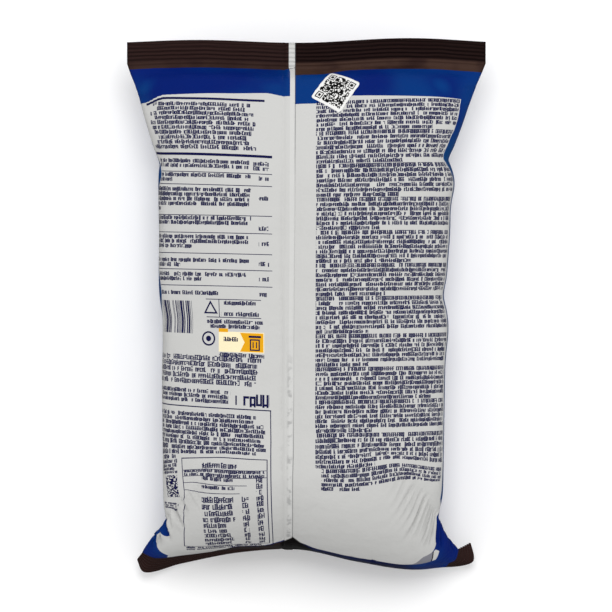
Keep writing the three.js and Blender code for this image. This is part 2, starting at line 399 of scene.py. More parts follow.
    def middle(self, across: np.ndarray, t: np.ndarray) -> tuple[np.ndarray, np.ndarray]:
        """Works out the surface midway between back and front, and the way it faces. It is level in
        the body, and turns to the bottom seal's own line and way over the last stretch.

        Args:
            across: Places across the film, from -1 to 1.
            t: Distances below the top edge.

        Returns:
            The positions and the unit normals.
        """
        x = across * self.half_width(across > 0, t)
        pairs = (self.wave_base, self.wave_height, self.wave_length)
        base, height, length = (np.where(x < self.wave_x, *pair) for pair in pairs)
        wave = base + height * np.cos(2 * math.pi * (x - self.wave_x) / length)
        wave = wave * (1 - ramp(*self.wave_fade, t))
        level = self.pack_height / 2 + self.top_lift * (1 - ramp(0, self.lift_fade, t)) + wave
        plain = np.stack([x, self.pack_length / 2 - t - wave, level], axis=-1)
        up = np.zeros_like(plain)
        up[..., 2] = 1.0
        end = self.body_bottom - t
        outer = np.abs(across) ** 3
        bend = mix(self.bend_middle, np.where(across > 0, self.bend_side[1], self.bend_side[0]), outer)
        place = self.along_seal(across, way=False)
        way = unit(self.along_seal(across, way=True))
        beside = 0.02
        sideways = self.along_seal(np.minimum(1, across + beside), way=False)
        sideways = sideways - self.along_seal(np.maximum(-1, across - beside), way=False)
        facing = unit(np.cross(way, sideways))
        coming = self.arrival
        parts = [way[..., 0] * coming, np.full_like(x, -coming), -coming * (1 - outer)]
        arrival = np.stack(parts, axis=-1)
        share = 1 - ramp(0.0, 1.0, end / bend)
        near = mix(plain, place - arrival * end[..., None], share[..., None])
        near[..., 0] -= (across < 0) * self.ear_swell * outer * np.sin(math.pi * np.sqrt(share))
        turned = unit(mix(up, facing, (1 - ramp(0, self.turn_length, end))[..., None]))
        beyond = (end <= 0)[..., None]
        hanging = place - way * end[..., None]
        return np.where(beyond, hanging, near), np.where(beyond, facing, turned)

    def rested(self, z: np.ndarray) -> np.ndarray:
        """Presses the belly flat on the floor, with a smooth turn.

        Args:
            z: Heights.

        Returns:
            Heights that are never below the floor.
        """
        blend = self.floor_blend
        turn = (z + blend) ** 2 / (4 * blend)
        return np.where(z > blend, z, np.where(z < -blend, 0.0, turn))

    def surface(self, angle: np.ndarray, side: Side, t: np.ndarray) -> np.ndarray:
        """Works out the film's place. Across the bag it is a superellipse: the place across is
        cos(a)^(2/p) and the height sin(a)^(2/q), with both powers growing as the bag fills.

        Args:
            angle: 0 at the right edge to pi at the left one.
            side: The face.
            t: Distances below the top edge.

        Returns:
            A position for each point.
        """
        full = self.fullness(side, t)
        round_share = ramp(0, self.round_from, full)
        cosine = np.cos(angle)
        across = np.sign(cosine) * np.abs(cosine) ** (2 / (2 + self.side_power * round_share))
        x = across * self.half_width(across > 0, t)
        sine = np.abs(np.sin(angle))
        edge = np.sqrt(sine)
        belly = self.pack_height / 2 + (self.floor_press if side is Side.FRONT else 0.0)
        swell = full * belly * sine ** (2 / (1 + self.swell_power * round_share))
        if side is Side.BACK:
            swell = swell + self.relief(x, t) * edge
        in_seal = np.minimum(t, self.total - t)
        rib = self.rib_height * (1 - ramp(self.seal_depth - 1.5, self.seal_depth, in_seal))
        rib = rib * np.cos(2 * math.pi * self.rib_count * in_seal / self.seal_depth)
        place, facing = self.middle(across, t)
        skin = side.value * (self.film_thickness / 2) * edge + rib
        place = place + facing * skin[..., None]
        place[..., 2] += side.value * swell
        place[..., 2] = self.rested(place[..., 2])
        return place


@dataclass(frozen=True)
class Creasing:
    """Lets a grid of film buckle, as a film does that can bend but can't stretch.

    The grid's columns run round the bag and meet, and its rows run down it. Each round moves the
    points of every edge, and of every cell's two diagonals, towards their own lengths, blows the film
    out a little, smooths it a little for its stiffness, and keeps it off the floor.

    Attributes:
        rounds: How many rounds there are.
        hoop: How long the film is round the bag at least, in mm.
        slack: How far shorter columns are let grow to the guide column's length, as a share.
        pressure: How far a round blows the film out, in mm.
        stiffness: What share of the way to its neighbours' mean a round moves a point.
        give: What share of the way to their own lengths a round moves the edges.
        reach: How far a point may go in the open body, in mm.
        edge_reach: How far it may go at the side edges, in mm.
        seal_zone: How far from a seal the film begins to move freely, in mm.
        edge_zone: Between which distances from a side edge the reach grows, in mm.
        start: How high the first unevenness is, in mm.
        evening: How many rounds even out the creases where the columns are narrow.
        seed: What the first unevenness is drawn from.
    """

    rounds: int = 220
    hoop: float = 377.0
    slack: float = 0.17
    pressure: float = 0.012
    stiffness: float = 0.05
    give: float = 0.45
    reach: float = 2.2
    edge_reach: float = 0.9
    seal_zone: float = 9.0
    edge_zone: tuple[float, float] = (2.0, 18.0)
    start: float = 0.22
    evening: int = 24
    seed: int = 11

    def settle(
        self, points: np.ndarray, edge: np.ndarray, seal: np.ndarray, guide: int
    ) -> np.ndarray:
        """Buckles the film.

        Args:
            points: The grid's points in mm, by row and column.
            edge: How far each column lies from the bag's nearer side edge, in mm.
            seal: How far each row lies from the nearer seal, in mm, and 0 in the seals.
            guide: The column whose rows have the film's true spacing.

        Returns:
            The settled points.
        """
        across = np.linalg.norm(np.roll(points, -1, axis=1) - points, axis=2)
        down = np.linalg.norm(np.diff(points, axis=0), axis=2)
        around = across.sum(axis=1, keepdims=True)
        across = across * np.maximum(self.hoop / around, 1.0)
        down = mix(down, np.maximum(down, down[:, guide, None]), self.slack)
        slant = np.hypot((across[1:] + across[:-1]) / 2, (down + np.roll(down, -1, axis=1)) / 2)
        floor = points[..., 2].min()
        free = ramp(0.0, self.seal_zone, seal)[:, None]
        most = mix(self.edge_reach, self.reach, ramp(*self.edge_zone, edge))[None, :] * free
        settled = points + grid_normals(points) * (self._unevenness(edge, seal) * free)[..., None]
        for _ in range(self.rounds):
            move = self._towards(settled, np.roll(settled, -1, axis=1), across)
            step = 0.5 * (move - np.roll(move, 1, axis=1))
            pairs = (
                (settled[1:], down, 0),
                (np.roll(settled, -1, axis=1)[1:], slant, -1),
                (np.roll(settled, 1, axis=1)[1:], slant, 1),
            )
            for other, length, shift in pairs:
                lengths = length if shift < 1 else np.roll(length, 1, axis=1)
                move = self._towards(settled[:-1], other, lengths) * 0.5
                step[:-1] += move
                step[1:] -= np.roll(move, -shift, axis=1)
            settled = settled + step * self.give + grid_normals(settled) * self.pressure
            inner = settled[2:] + settled[:-2] + np.roll(settled, 1, axis=1)[1:-1]
            inner = inner + np.roll(settled, -1, axis=1)[1:-1] - 4 * settled[1:-1]
            settled[1:-1] += inner * (self.stiffness / 4)
            away = settled - points
            far = np.linalg.norm(away, axis=2, keepdims=True)
            settled = points + away * np.minimum(1.0, most[..., None] / np.maximum(far, 1e-9))
            settled[..., 2] = np.maximum(settled[..., 2], floor)
        return points + self._evened(settled - points, across.mean(axis=0))

    def _evened(self, away: np.ndarray, widths: np.ndarray) -> np.ndarray:
        """Smooths the way that the points have gone, round the bag, where the columns are narrow, so
        that creases don't get narrower with them.

        Args:
            away: How far each point has gone, by row and column.
            widths: Each column's width.

        Returns:
            The smoothed way.
        """
        narrow = ramp(0.8, 0.5, widths / np.median(widths))[None, :, None]
        for _ in range(self.evening):
            spread = (np.roll(away, 1, axis=1) + np.roll(away, -1, axis=1)) / 2
            spread[1:-1] = (2 * spread[1:-1] + spread[2:] + spread[:-2]) / 4
            away = mix(away, (away + spread) / 2, narrow)
        return away

    def _towards(self, first: np.ndarray, second: np.ndarray, length: np.ndarray) -> np.ndarray:
        """Works out how the first points move for their distance to the second to become a length.

        Args:
            first: The points that move.
            second: The points at the other end.
            length: The length of each pair.

        Returns:
            The way that each first point moves.
        """
        away = second - first
        far = np.linalg.norm(away, axis=2)
        return away * (1.0 - length / np.maximum(far, 1e-6))[..., None]

    def _unevenness(self, edge: np.ndarray, seal: np.ndarray) -> np.ndarray:
        """Draws the first small unevenness: stripes down the bag by the seals, which fade as
        exp(-d / 22), stripes across it by the side edges, as exp(-d / 16), and soft dents.

        Args:
            edge: How far each column lies from the bag's nearer side edge.
            seal: How far each row lies from the nearer seal.

        Returns:
            A height for each point in mm.
        """
        shape = (len(seal), len(edge))
        rng = np.random.default_rng(self.seed)
        by_seal = np.exp(-seal / 22.0)[:, None]
        by_edge = np.exp(-edge / 16.0)[None, :]
        down = self._soft(rng.standard_normal(shape), 14.0, 3.0)
        across = self._soft(rng.standard_normal(shape), 3.5, 12.0)
        dents = self._soft(rng.standard_normal(shape), 8.0, 8.0)
        return self.start * (1.6 * down * by_seal + across * by_edge + 0.5 * dents)

    def _soft(self, noise: np.ndarray, rows: float, columns: float) -> np.ndarray:
        """Blurs noise over some rows and columns, as its spectrum times exp(-20 k^2), and brings it
        back to an even strength.

        Args:
            noise: The noise, by row and column.
            rows: Over how many rows it is blurred.
            columns: Over how many columns.

        Returns:
            The soft noise, with a standard deviation of 1.
        """
        f = np.fft.fftfreq(noise.shape[0])[:, None] * rows
        g = np.fft.rfftfreq(noise.shape[1])[None, :] * columns
        soft = np.fft.irfft2(np.fft.rfft2(noise) * np.exp(-20.0 * (f * f + g * g)), noise.shape)
        return soft / soft.std()


@dataclass(frozen=True)
class Lap:
    """The seam's lap, in mm: the film's edge laid over itself. It rises softly on its left, and ends
    on its right in a cut edge that runs a little aslant. A low ridge runs beside it."""

    edge: float = 2.0
    slant: float = 1.2
    slant_from: float = 40.0
    slant_to: float = 330.0
    width: float = 5.6
    height: float = 0.4
    rise: float = 1.6
    crease: float = 0.22
    crease_left: float = 0.4
    crease_reach: float = 0.7
    ridge: float = 0.35
    ridge_u: float = -3.6
    ridge_reach: float = 0.8
    ridge_start: tuple[float, float] = (118.0, 150.0)
    ridge_end: tuple[float, float] = (268.0, 240.0)

    def relief(self, u: np.ndarray, v: np.ndarray) -> np.ndarray:
        """Works out how far the lap stands above the film: a smooth rise up to the cut edge, less a
        narrow bell where it begins, and another bell for the ridge.

        Args:
            u: Places round the film, as one row.
            v: Places down the film, as one column.

        Returns:
            Heights in mm by row and column.
        """
        edge = self.edge - self.slant * ramp(self.slant_from, self.slant_to, v)
        start = edge - self.width
        rise = ramp(0, 1, (u - start) / self.rise)
        crease = self.crease * bell(u, start - self.crease_left, self.crease_reach)
        length = ramp(*self.ridge_start, v) * ramp(*self.ridge_end, v)
        ridge = self.ridge * bell(u, self.ridge_u, self.ridge_reach) * length
        return self.height * rise * (u < edge) - crease + ridge


@dataclass
class BagFilm:
    """The bag's film as a grid: rows run down the bag and columns run round it.

    Columns are counted from the right edge, over the back to the left edge, and under the front back
    to the right. Each has a place u round the film, in mm from the seam, positive to the right on the
    back, and each row a place v, in mm of film below the top edge.
    """

    pillow: Pillow = field(default_factory=Pillow)
    creasing: Creasing = field(default_factory=Creasing)
    lap: Lap = field(default_factory=Lap)
    right_half: float = 103.0
    left_half: float = 87.0
    pitch: float = 1.35
    seam_zone: float = 5.0
    seam_pitch: float = 0.42
    seal_rows: int = 34
    body_rows: int = 230
    row_easing: float = 0.4
    samples: int = 721
    guide_u: float = 45.0
    u: np.ndarray = field(init=False)
    t: np.ndarray = field(init=False)
    v: np.ndarray = field(init=False)
    points: np.ndarray = field(init=False)

    def build(self) -> bpy.types.Object:
        """Works out the film's points and makes its object.

        Returns:
            The film's object.
        """
        self.u = self._columns()
        self.t = self._rows()
        back = self._face(Side.BACK)
        front = self._face(Side.FRONT)
        guide = int(np.argmin(np.abs(self.u - self.guide_u)))
        steps = np.linalg.norm(np.diff(back[:, guide], axis=0), axis=1)
        self.v = np.concatenate([[0.0], np.cumsum(steps)])
        self.points = np.concatenate([back, front[:, -2:0:-1]], axis=1)
        self._crease(guide)
        self._add_lap()
        self._place()
        return self._object()

    def _crease(self, guide: int) -> None:
        """Lets the film crease.

        Args:
            guide: The column whose rows have the film's true spacing.
        """
        place = np.concatenate([self.u, self.u[-2:0:-1]])
        edge = np.minimum(self.right_half - place, place + self.left_half)
        p = self.pillow
        seal = np.maximum(0.0, np.minimum(self.t - p.seal_depth, p.body_bottom - self.t))
        self.points = self.creasing.settle(self.points, edge, seal, guide)

    def _add_lap(self) -> None:
        """Raises the seam's lap on the back. The front's columns count as far away from it."""
        u = np.full(self.points.shape[1], np.inf)
        u[: len(self.u)] = self.u
        height = self.lap.relief(u[None, :], self.v[:, None])
        self.points += grid_normals(self.points) * height[..., None]

    def _columns(self) -> np.ndarray:
        """Spaces the back's columns, closer together at the seam.

        Returns:
            Places u from the right edge to the left one.
        """
        zone = self.seam_zone
        right = int(round((self.right_half - zone) / self.pitch))
        left = int(round((self.left_half - zone) / self.pitch))
        seam = int(round(2 * zone / self.seam_pitch))
        parts = [
            np.linspace(self.right_half, zone, right, endpoint=False),
            np.linspace(zone, -zone, seam, endpoint=False),
            np.linspace(-zone, -self.left_half, left + 1),
        ]
        return np.concatenate(parts)

    def _rows(self) -> np.ndarray:
        """Spaces the rows, evenly in each ribbed seal and closer together at the body's ends.

        Returns:
            Distances below the top edge.
        """
        p = self.pillow
        f = np.linspace(0.0, 1.0, self.body_rows + 1)
        eased = f - self.row_easing * np.sin(2 * math.pi * f) / (2 * math.pi)
        seal = np.linspace(0.0, p.seal_depth, self.seal_rows, endpoint=False)
        body = p.seal_depth + p.body_length * eased
        return np.concatenate([seal, body, p.total - seal[::-1]])

    def _face(self, side: Side) -> np.ndarray:
        """Works out one face's points, evenly spaced by length on each side of the seam's line.

        Args:
            side: The face.

        Returns:
            Points by row and column.
        """
        dense = np.linspace(0.0, math.pi, self.samples)
        angle, t = np.meshgrid(dense, self.t)
        curve = self.pillow.surface(angle, side, t)
        steps = np.linalg.norm(np.diff(curve, axis=1), axis=2)
        length = np.concatenate([np.zeros((len(self.t), 1)), np.cumsum(steps, axis=1)], axis=1)
        rows = []
        for row, run in zip(curve, length):
            at_seam = np.interp(-self.pillow.seam_x, -row[:, 0], run)
            right = (self.right_half - self.u) / self.right_half * at_seam
            left = at_seam - self.u / self.left_half * (run[-1] - at_seam)
            rows.append(np.interp(np.where(self.u > 0, right, left), run, dense))
        angles = np.array(rows)
        return self.pillow.surface(angles, side, np.broadcast_to(self.t[:, None], angles.shape))

    def at(self, u: np.ndarray, v: np.ndarray) -> tuple[np.ndarray, np.ndarray]:
        """Reads the back's place and normal between the grid's points.

        Args:
            u: Places round the film.
            v: Places down the film.

        Returns:
            Positions and unit normals in mm.
        """
        column = np.interp(-u, -self.u, np.arange(len(self.u)))
        row = np.interp(v, self.v, np.arange(len(self.v)))
        i, j = np.floor(column).astype(int), np.floor(row).astype(int)
        f, g = (column - i)[..., None], (row - j)[..., None]
        results = []
        for grid in (self.points, grid_normals(self.points)):
            upper = mix(grid[j, i], grid[j, i + 1], f)
            lower = mix(grid[j + 1, i], grid[j + 1, i + 1], f)
            results.append(mix(upper, lower, g))
        return results[0], unit(results[1])

    def _place(self) -> None:
        """Moves the film to where the CAD solid is: the same middle, on the floor."""
        low, high = (np.array(corner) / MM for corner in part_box("bag"))
        flat = self.points.reshape(-1, 3)
        shift = (low + high) / 2 - (flat.min(0) + flat.max(0)) / 2
        shift[2] = -flat[:, 2].min()
        self.points += shift

    def _faces(self) -> tuple[np.ndarray, np.ndarray]:
        """Joins the rings, and closes the two cut edges between back and front.

        Returns:
            Vertex numbers of the quads and of the triangles, facing out.
        """
        rows, ring = self.points.shape[:2]
        r, i = np.meshgrid(np.arange(rows - 1), np.arange(ring), indexing="ij")
        a = r * ring + i
        b = r * ring + (i + 1) % ring
        quads = [np.stack([a, b, b + ring, a + ring], axis=-1).reshape(-1, 4)]
        triangles = []
        last = len(self.u) - 1
        k = np.arange(1, last - 1)
        for start, order in ((0, (0, 1, 2, 3)), ((rows - 1) * ring, (3, 2, 1, 0))):
            strip = np.stack([k, ring - k, ring - k - 1, k + 1], axis=-1)
            quads.append(start + strip[:, order])
            turn = (0, 1, 2) if start == 0 else (2, 1, 0)
            triangles.append(start + np.array([0, ring - 1, 1])[list(turn)])
            triangles.append(start + np.array([last - 1, last + 1, last])[list(turn)])
        return np.concatenate(quads), np.array(triangles)

    def _uv(self, corners: np.ndarray, first_face: int) -> np.ndarray:
        """Works out each corner's place on the film, unrolled: u on the back, and on the front what
        follows it past the left edge.

        Args:
            corners: Vertex numbers of the faces' corners, by face.
            first_face: How many faces lie before the first row of caps.

        Returns:
            (u, v) in mm for each corner.
        """
        ring = self.points.shape[1]
        front = -2 * self.left_half - self.u[-2:0:-1]
        u = np.concatenate([self.u, front])[corners % ring]
        wraps = (u.max(axis=1, keepdims=True) - u.min(axis=1, keepdims=True)) > self.right_half
        wraps[first_face:] = False
        u = np.where(wraps & (u > 0), -2 * self.left_half - self.right_half, u)
        return np.stack([u, self.v[corners // ring]], axis=-1)

    def _object(self) -> bpy.types.Object:
        """Makes the object, with its print's map and its map for baking.

        Returns:
            The object, linked to the scene.
        """
        quads, triangles = self._faces()
        rows, ring = self.points.shape[:2]
        sizes = np.concatenate([np.full(len(quads), 4), np.full(len(triangles), 3)])
        corners = np.concatenate([quads.ravel(), triangles.ravel()])
        mesh = new_mesh("bag_film", self.points.reshape(-1, 3) * MM, corners, sizes)
        body = (rows - 1) * ring
        places = np.concatenate(
            [
                self._uv(quads, body).reshape(-1, 2),
                self._uv(triangles, 0).reshape(-1, 2),
            ]
        )
        round_film = 2 * (self.left_half + self.right_half)
        bake = (places - [self.right_half, 0]) / [round_film, self.v[-1]] * 0.99 + [0.995, 0.005]
        for name, values in (("film", places * MM), ("OFBake", bake)):
            layer = mesh.uv_layers.new(name=name)
            layer.data.foreach_set("uv", values.astype(np.float32).ravel())
        mesh.uv_layers["film"].active = True
        return new_object("bag_film", mesh)


def new_mesh(name: str, points: np.ndarray, corners: np.ndarray, sizes: np.ndarray) -> bpy.types.Mesh:
    """Makes a smooth mesh from arrays.

    Args:
        name: The mesh's name.
        points: Vertices in metres.
        corners: Vertex numbers of all faces' corners, one face after another.
        sizes: How many corners each face has.

    Returns:
        The mesh.
    """
    mesh = bpy.data.meshes.new(name)
    mesh.vertices.add(len(points))
    mesh.vertices.foreach_set("co", points.astype(np.float32).ravel())
    mesh.loops.add(len(corners))
    mesh.loops.foreach_set("vertex_index", corners.astype(np.int32))
    mesh.polygons.add(len(sizes))
    starts = np.concatenate([[0], np.cumsum(sizes)[:-1]])
    mesh.polygons.foreach_set("loop_start", starts.astype(np.int32))
    mesh.polygons.foreach_set("use_smooth", np.ones(len(sizes), dtype=bool))
    mesh.update(calc_edges=True)
    return mesh


def new_object(name: str, mesh: bpy.types.Mesh) -> bpy.types.Object:
    """Links an object for a mesh, at the origin.

    Args:
        name: The object's name.
        mesh: Its mesh.

    Returns:
        The object.
    """
    obj = bpy.data.objects.new(name, mesh)
    bpy.context.scene.collection.objects.link(obj)
    return obj


@dataclass(frozen=True)
class Signal:
    """A number that a material works out at each point of a surface. Arithmetic on signals adds the
    nodes that do it."""

    tree: bpy.types.NodeTree
    socket: bpy.types.NodeSocket

    def _math(self, operation: str, *others: "Signal | float") -> "Signal":
        """Adds a Math node.

        Args:
            operation: The node's operation.
            others: Its further inputs.

        Returns:
            Its result.
        """
        node = self.tree.nodes.new("ShaderNodeMath")
        node.operation = operation
        self.tree.links.new(self.socket, node.inputs[0])
        for place, other in zip(node.inputs[1:], others):
            if isinstance(other, Signal):
                self.tree.links.new(other.socket, place)
            else:
                place.default_value = other
        return Signal(self.tree, node.outputs[0])

    def __add__(self, other: "Signal | float") -> "Signal":
        """Adds."""
        return self._math("ADD", other)

    def __sub__(self, other: "Signal | float") -> "Signal":
        """Subtracts."""
        return self._math("SUBTRACT", other)

    def __mul__(self, other: "Signal | float") -> "Signal":
        """Multiplies."""
        return self._math("MULTIPLY", other)

    def __truediv__(self, other: float) -> "Signal":
        """Divides by a number."""
        return self._math("DIVIDE", other)

    def above(self, limit: "Signal | float") -> "Signal":
        """1 where the signal is above the limit, else 0."""
        return self._math("GREATER_THAN", limit)

    def below(self, limit: "Signal | float") -> "Signal":
        """1 where the signal is below the limit, else 0."""
        return self._math("LESS_THAN", limit)

    def within(self, low: float, high: float) -> "Signal":
        """1 where the signal is between low and high, else 0."""
        return self._math("COMPARE", (low + high) / 2, (high - low) / 2)

    def floor(self) -> "Signal":
        """The whole number below."""
        return self._math("FLOOR")

    def fract(self) -> "Signal":
        """What is left above the whole number below."""
        return self._math("FRACT")

    def size(self) -> "Signal":
        """The signal without its sign."""
        return self._math("ABSOLUTE")

    def root(self) -> "Signal":
        """The square root."""
        return self._math("SQRT")

    def most(self, other: "Signal | float") -> "Signal":
        """The larger of two."""
        return self._math("MAXIMUM", other)

    def least(self, other: "Signal | float") -> "Signal":
        """The smaller of two."""
        return self._math("MINIMUM", other)

    def ramp(self, start: float, stop: float) -> "Signal":
        """Turns smoothly from 0 at start to 1 at stop.

        Args:
            start: Where the result is 0.
            stop: Where the result is 1.

        Returns:
            The result.
        """
        node = self.tree.nodes.new("ShaderNodeMapRange")
        node.interpolation_type = "SMOOTHSTEP"
        node.inputs["From Min"].default_value = start
        node.inputs["From Max"].default_value = stop
        self.tree.links.new(self.socket, node.inputs["Value"])
        return Signal(self.tree, node.outputs["Result"])

    def hump(self, centre: float, reach: float) -> "Signal":
        """Rises smoothly from 0 to 1 at the centre and falls again within the reach."""
        return (self - centre).size().ramp(reach, 0.0)


class Surface:
    """A material's nodes, built from signals."""

    def __init__(self, name: str) -> None:
        """Starts a material with one shader.

        Args:
            name: The material's name.
        """
        self.material = bpy.data.materials.new(name)
        self.material.use_nodes = True
        self.tree = self.material.node_tree
        self.shader = self.tree.nodes["Principled BSDF"]

    def place_on(self, uv_map: str) -> tuple[Signal, Signal]:
        """Reads a UV map in mm.

        Args:
            uv_map: The map's name.

        Returns:
            The signals u and v.
        """
        node = self.tree.nodes.new("ShaderNodeUVMap")
        node.uv_map = uv_map
        split = self.tree.nodes.new("ShaderNodeSeparateXYZ")
        self.tree.links.new(node.outputs[0], split.inputs[0])
        u, v = (Signal(self.tree, split.outputs[k]) for k in range(2))
        return u / MM, v / MM

    def vector(self, x: Signal, y: Signal) -> bpy.types.NodeSocket:
        """Joins two signals into a vector socket.

        Args:
            x: The first part.
            y: The second part.

        Returns:
            The vector's socket.
        """
        node = self.tree.nodes.new("ShaderNodeCombineXYZ")
        for place, part in zip(node.inputs, (x, y)):
            self.tree.links.new(part.socket, place)
        return node.outputs[0]

    def dice(self, x: Signal, y: Signal) -> tuple[Signal, Signal, Signal]:
        """Draws three random numbers for each pair of whole numbers.

        Args:
            x: The first number.
            y: The second number.

        Returns:
            Three signals from 0 to 1.
        """
        node = self.tree.nodes.new("ShaderNodeTexWhiteNoise")
        node.noise_dimensions = "2D"
        self.tree.links.new(self.vector(x, y), node.inputs["Vector"])
        split = self.tree.nodes.new("ShaderNodeSeparateColor")
        self.tree.links.new(node.outputs["Color"], split.inputs[0])
        return tuple(Signal(self.tree, split.outputs[k]) for k in range(3))

    def clouds(self, where: bpy.types.NodeSocket, scale: float, detail: float = 2.0) -> Signal:
        """Adds soft noise.

        Args:
            where: The coordinates.
            scale: How many clouds per unit.
            detail: How many finer layers.

        Returns:
            A signal about 0.5.
        """
        node = self.tree.nodes.new("ShaderNodeTexNoise")
        node.inputs["Scale"].default_value = scale
        node.inputs["Detail"].default_value = detail
        self.tree.links.new(where, node.inputs["Vector"])
        return Signal(self.tree, node.outputs[0])

    def in_object(self) -> bpy.types.NodeSocket:
        """The object's own coordinates."""
        return self.tree.nodes.new("ShaderNodeTexCoord").outputs["Object"]

    def blend(
        self,
        share: Signal,
        under: "bpy.types.NodeSocket | Colour",
        over: "bpy.types.NodeSocket | Colour",
    ) -> bpy.types.NodeSocket:
        """Lays one colour over another.

        Args:
            share: Where the upper colour shows, from 0 to 1.
            under: The lower colour.
            over: The upper colour.

        Returns:
            The mixed colour.
        """
        node = self.tree.nodes.new("ShaderNodeMix")
        node.data_type = "RGBA"
        self.tree.links.new(share.socket, node.inputs["Factor"])
        for name, colour in (("A", under), ("B", over)):
            place = [i for i in node.inputs if i.name == name and i.type == "RGBA"][0]
            if isinstance(colour, tuple):
                place.default_value = (*colour, 1.0)
            else:
                self.tree.links.new(colour, place)
        return [o for o in node.outputs if o.type == "RGBA"][0]

    def bump(
        self, height: Signal, reach: float, below: "bpy.types.NodeSocket | None" = None
    ) -> bpy.types.NodeSocket:
        """Turns a height into a normal.

        Args:
            height: The height, from 0 to 1.
            reach: What a height of 1 means, in metres.
            below: A normal that this one is laid on.

        Returns:
            The normal's socket.
        """
        node = self.tree.nodes.new("ShaderNodeBump")
        node.inputs["Distance"].default_value = reach
        self.tree.links.new(height.socket, node.inputs["Height"])
        if below is not None:
            self.tree.links.new(below, node.inputs["Normal"])
        return node.outputs[0]

    def feed(self, name: str, socket: bpy.types.NodeSocket) -> None:
        """Links a socket to the shader."""
        self.tree.links.new(socket, self.shader.inputs[name])


def paint(red: int, green: int, blue: int) -> Colour:
    """Turns a display colour of 0 to 255 into the linear values that a shader takes.

    Args:
        red: Red.
        green: Green.
        blue: Blue.

    Returns:
        Three linear values.
    """
    parts = (c / 255 for c in (red, green, blue))
    return tuple(c / 12.92 if c <= 0.04045 else ((c + 0.055) / 1.055) ** 2.4 for c in parts)


@dataclass(frozen=True)
class Step:
    """A smooth change by an amount, from start to stop along the film in mm."""

    start: float
    stop: float
    amount: float

    def read(self, at: Signal) -> Signal:
        """Works out how much of the change has come at a place."""
        return at.ramp(self.start, self.stop) * self.amount


@dataclass(frozen=True)
class Bulge:
    """A smooth rise by an amount at a centre, gone within its reach on both sides, in mm."""

    centre: float
    reach: float
    amount: float

    def read(self, at: Signal) -> Signal:
        """Works out the rise at a place."""
        return at.hump(self.centre, self.reach) * self.amount


def follow(at: Signal, first: float, changes: "tuple[Step | Bulge, ...]") -> Signal:
    """Works out a line that starts at a value and takes some changes along the film.

    Args:
        at: The place along the film.
        first: The value before any change.
        changes: The changes.

    Returns:
        The line's value.
    """
    line = changes[0].read(at) + first
    for change in changes[1:]:
        line = line + change.read(at)
    return line


@dataclass(frozen=True)
class Bar:
    """A printed rectangle, from one (u, v) to another in mm."""

    u: tuple[float, float]
    v: tuple[float, float]

    def ink(self, u: Signal, v: Signal) -> Signal:
        """1 inside the rectangle."""
        return u.within(*self.u) * v.within(*self.v)


@dataclass(frozen=True)
class Block:
    """A rectangle of small print, from one (u, v) to another in mm. Its rows start together on the
    left and end raggedly on the right, or are centred."""

    kind: Type
    u: tuple[float, float]
    v: tuple[float, float]
    ragged: float = 4.0
    centred: bool = False

    def rows(self, u: Signal, row: Signal, first: Signal, second: Signal) -> Signal:
        """Marks the rows that fit in the rectangle, each as long as chance makes it.

        Args:
            u: The place round the film.
            row: The row's number, counted from the film's top edge.
            first: A random number for each row, which sets a centred row's length.
            second: Another, which sets any other row's length.

        Returns:
            1 in a row, else 0.
        """
        pitch = self.kind.value[0]
        low = math.floor(self.v[0] / pitch + 0.5)
        high = max(low, math.floor(self.v[1] / pitch - 0.5))
        rows = row.within(low - 0.25, high + 0.25)
        if self.centred:
            middle = (self.u[0] + self.u[1]) / 2
            half = (self.u[1] - self.u[0]) / 2
            return rows * (u - middle).size().below(first * (-self.ragged / 2) + half)
        return rows * (u.above(self.u[0]) * u.below(second * -self.ragged + self.u[1]))


def rules(u: tuple[float, float], tops: tuple[float, ...], weight: float = 0.4) -> tuple[Bar, ...]:
    """Makes level rules of the same length, one below the other.

    Args:
        u: Where they start and stop.
        tops: Their upper edges.
        weight: How thick they are.

    Returns:
        The rules.
    """
    return tuple(Bar(u, (top, top + weight)) for top in tops)


def figures(u: tuple[float, float], tops: tuple[float, ...], height: float = 2.6) -> tuple[Block, ...]:
    """Makes a column of short numbers' stand-ins, each one row high.

    Args:
        u: Where they start and stop.
        tops: Their upper edges.
        height: How high they are.

    Returns:
        The blocks.
    """
    return tuple(Block(Type.HEAD, u, (top, top + height), 0.5) for top in tops)


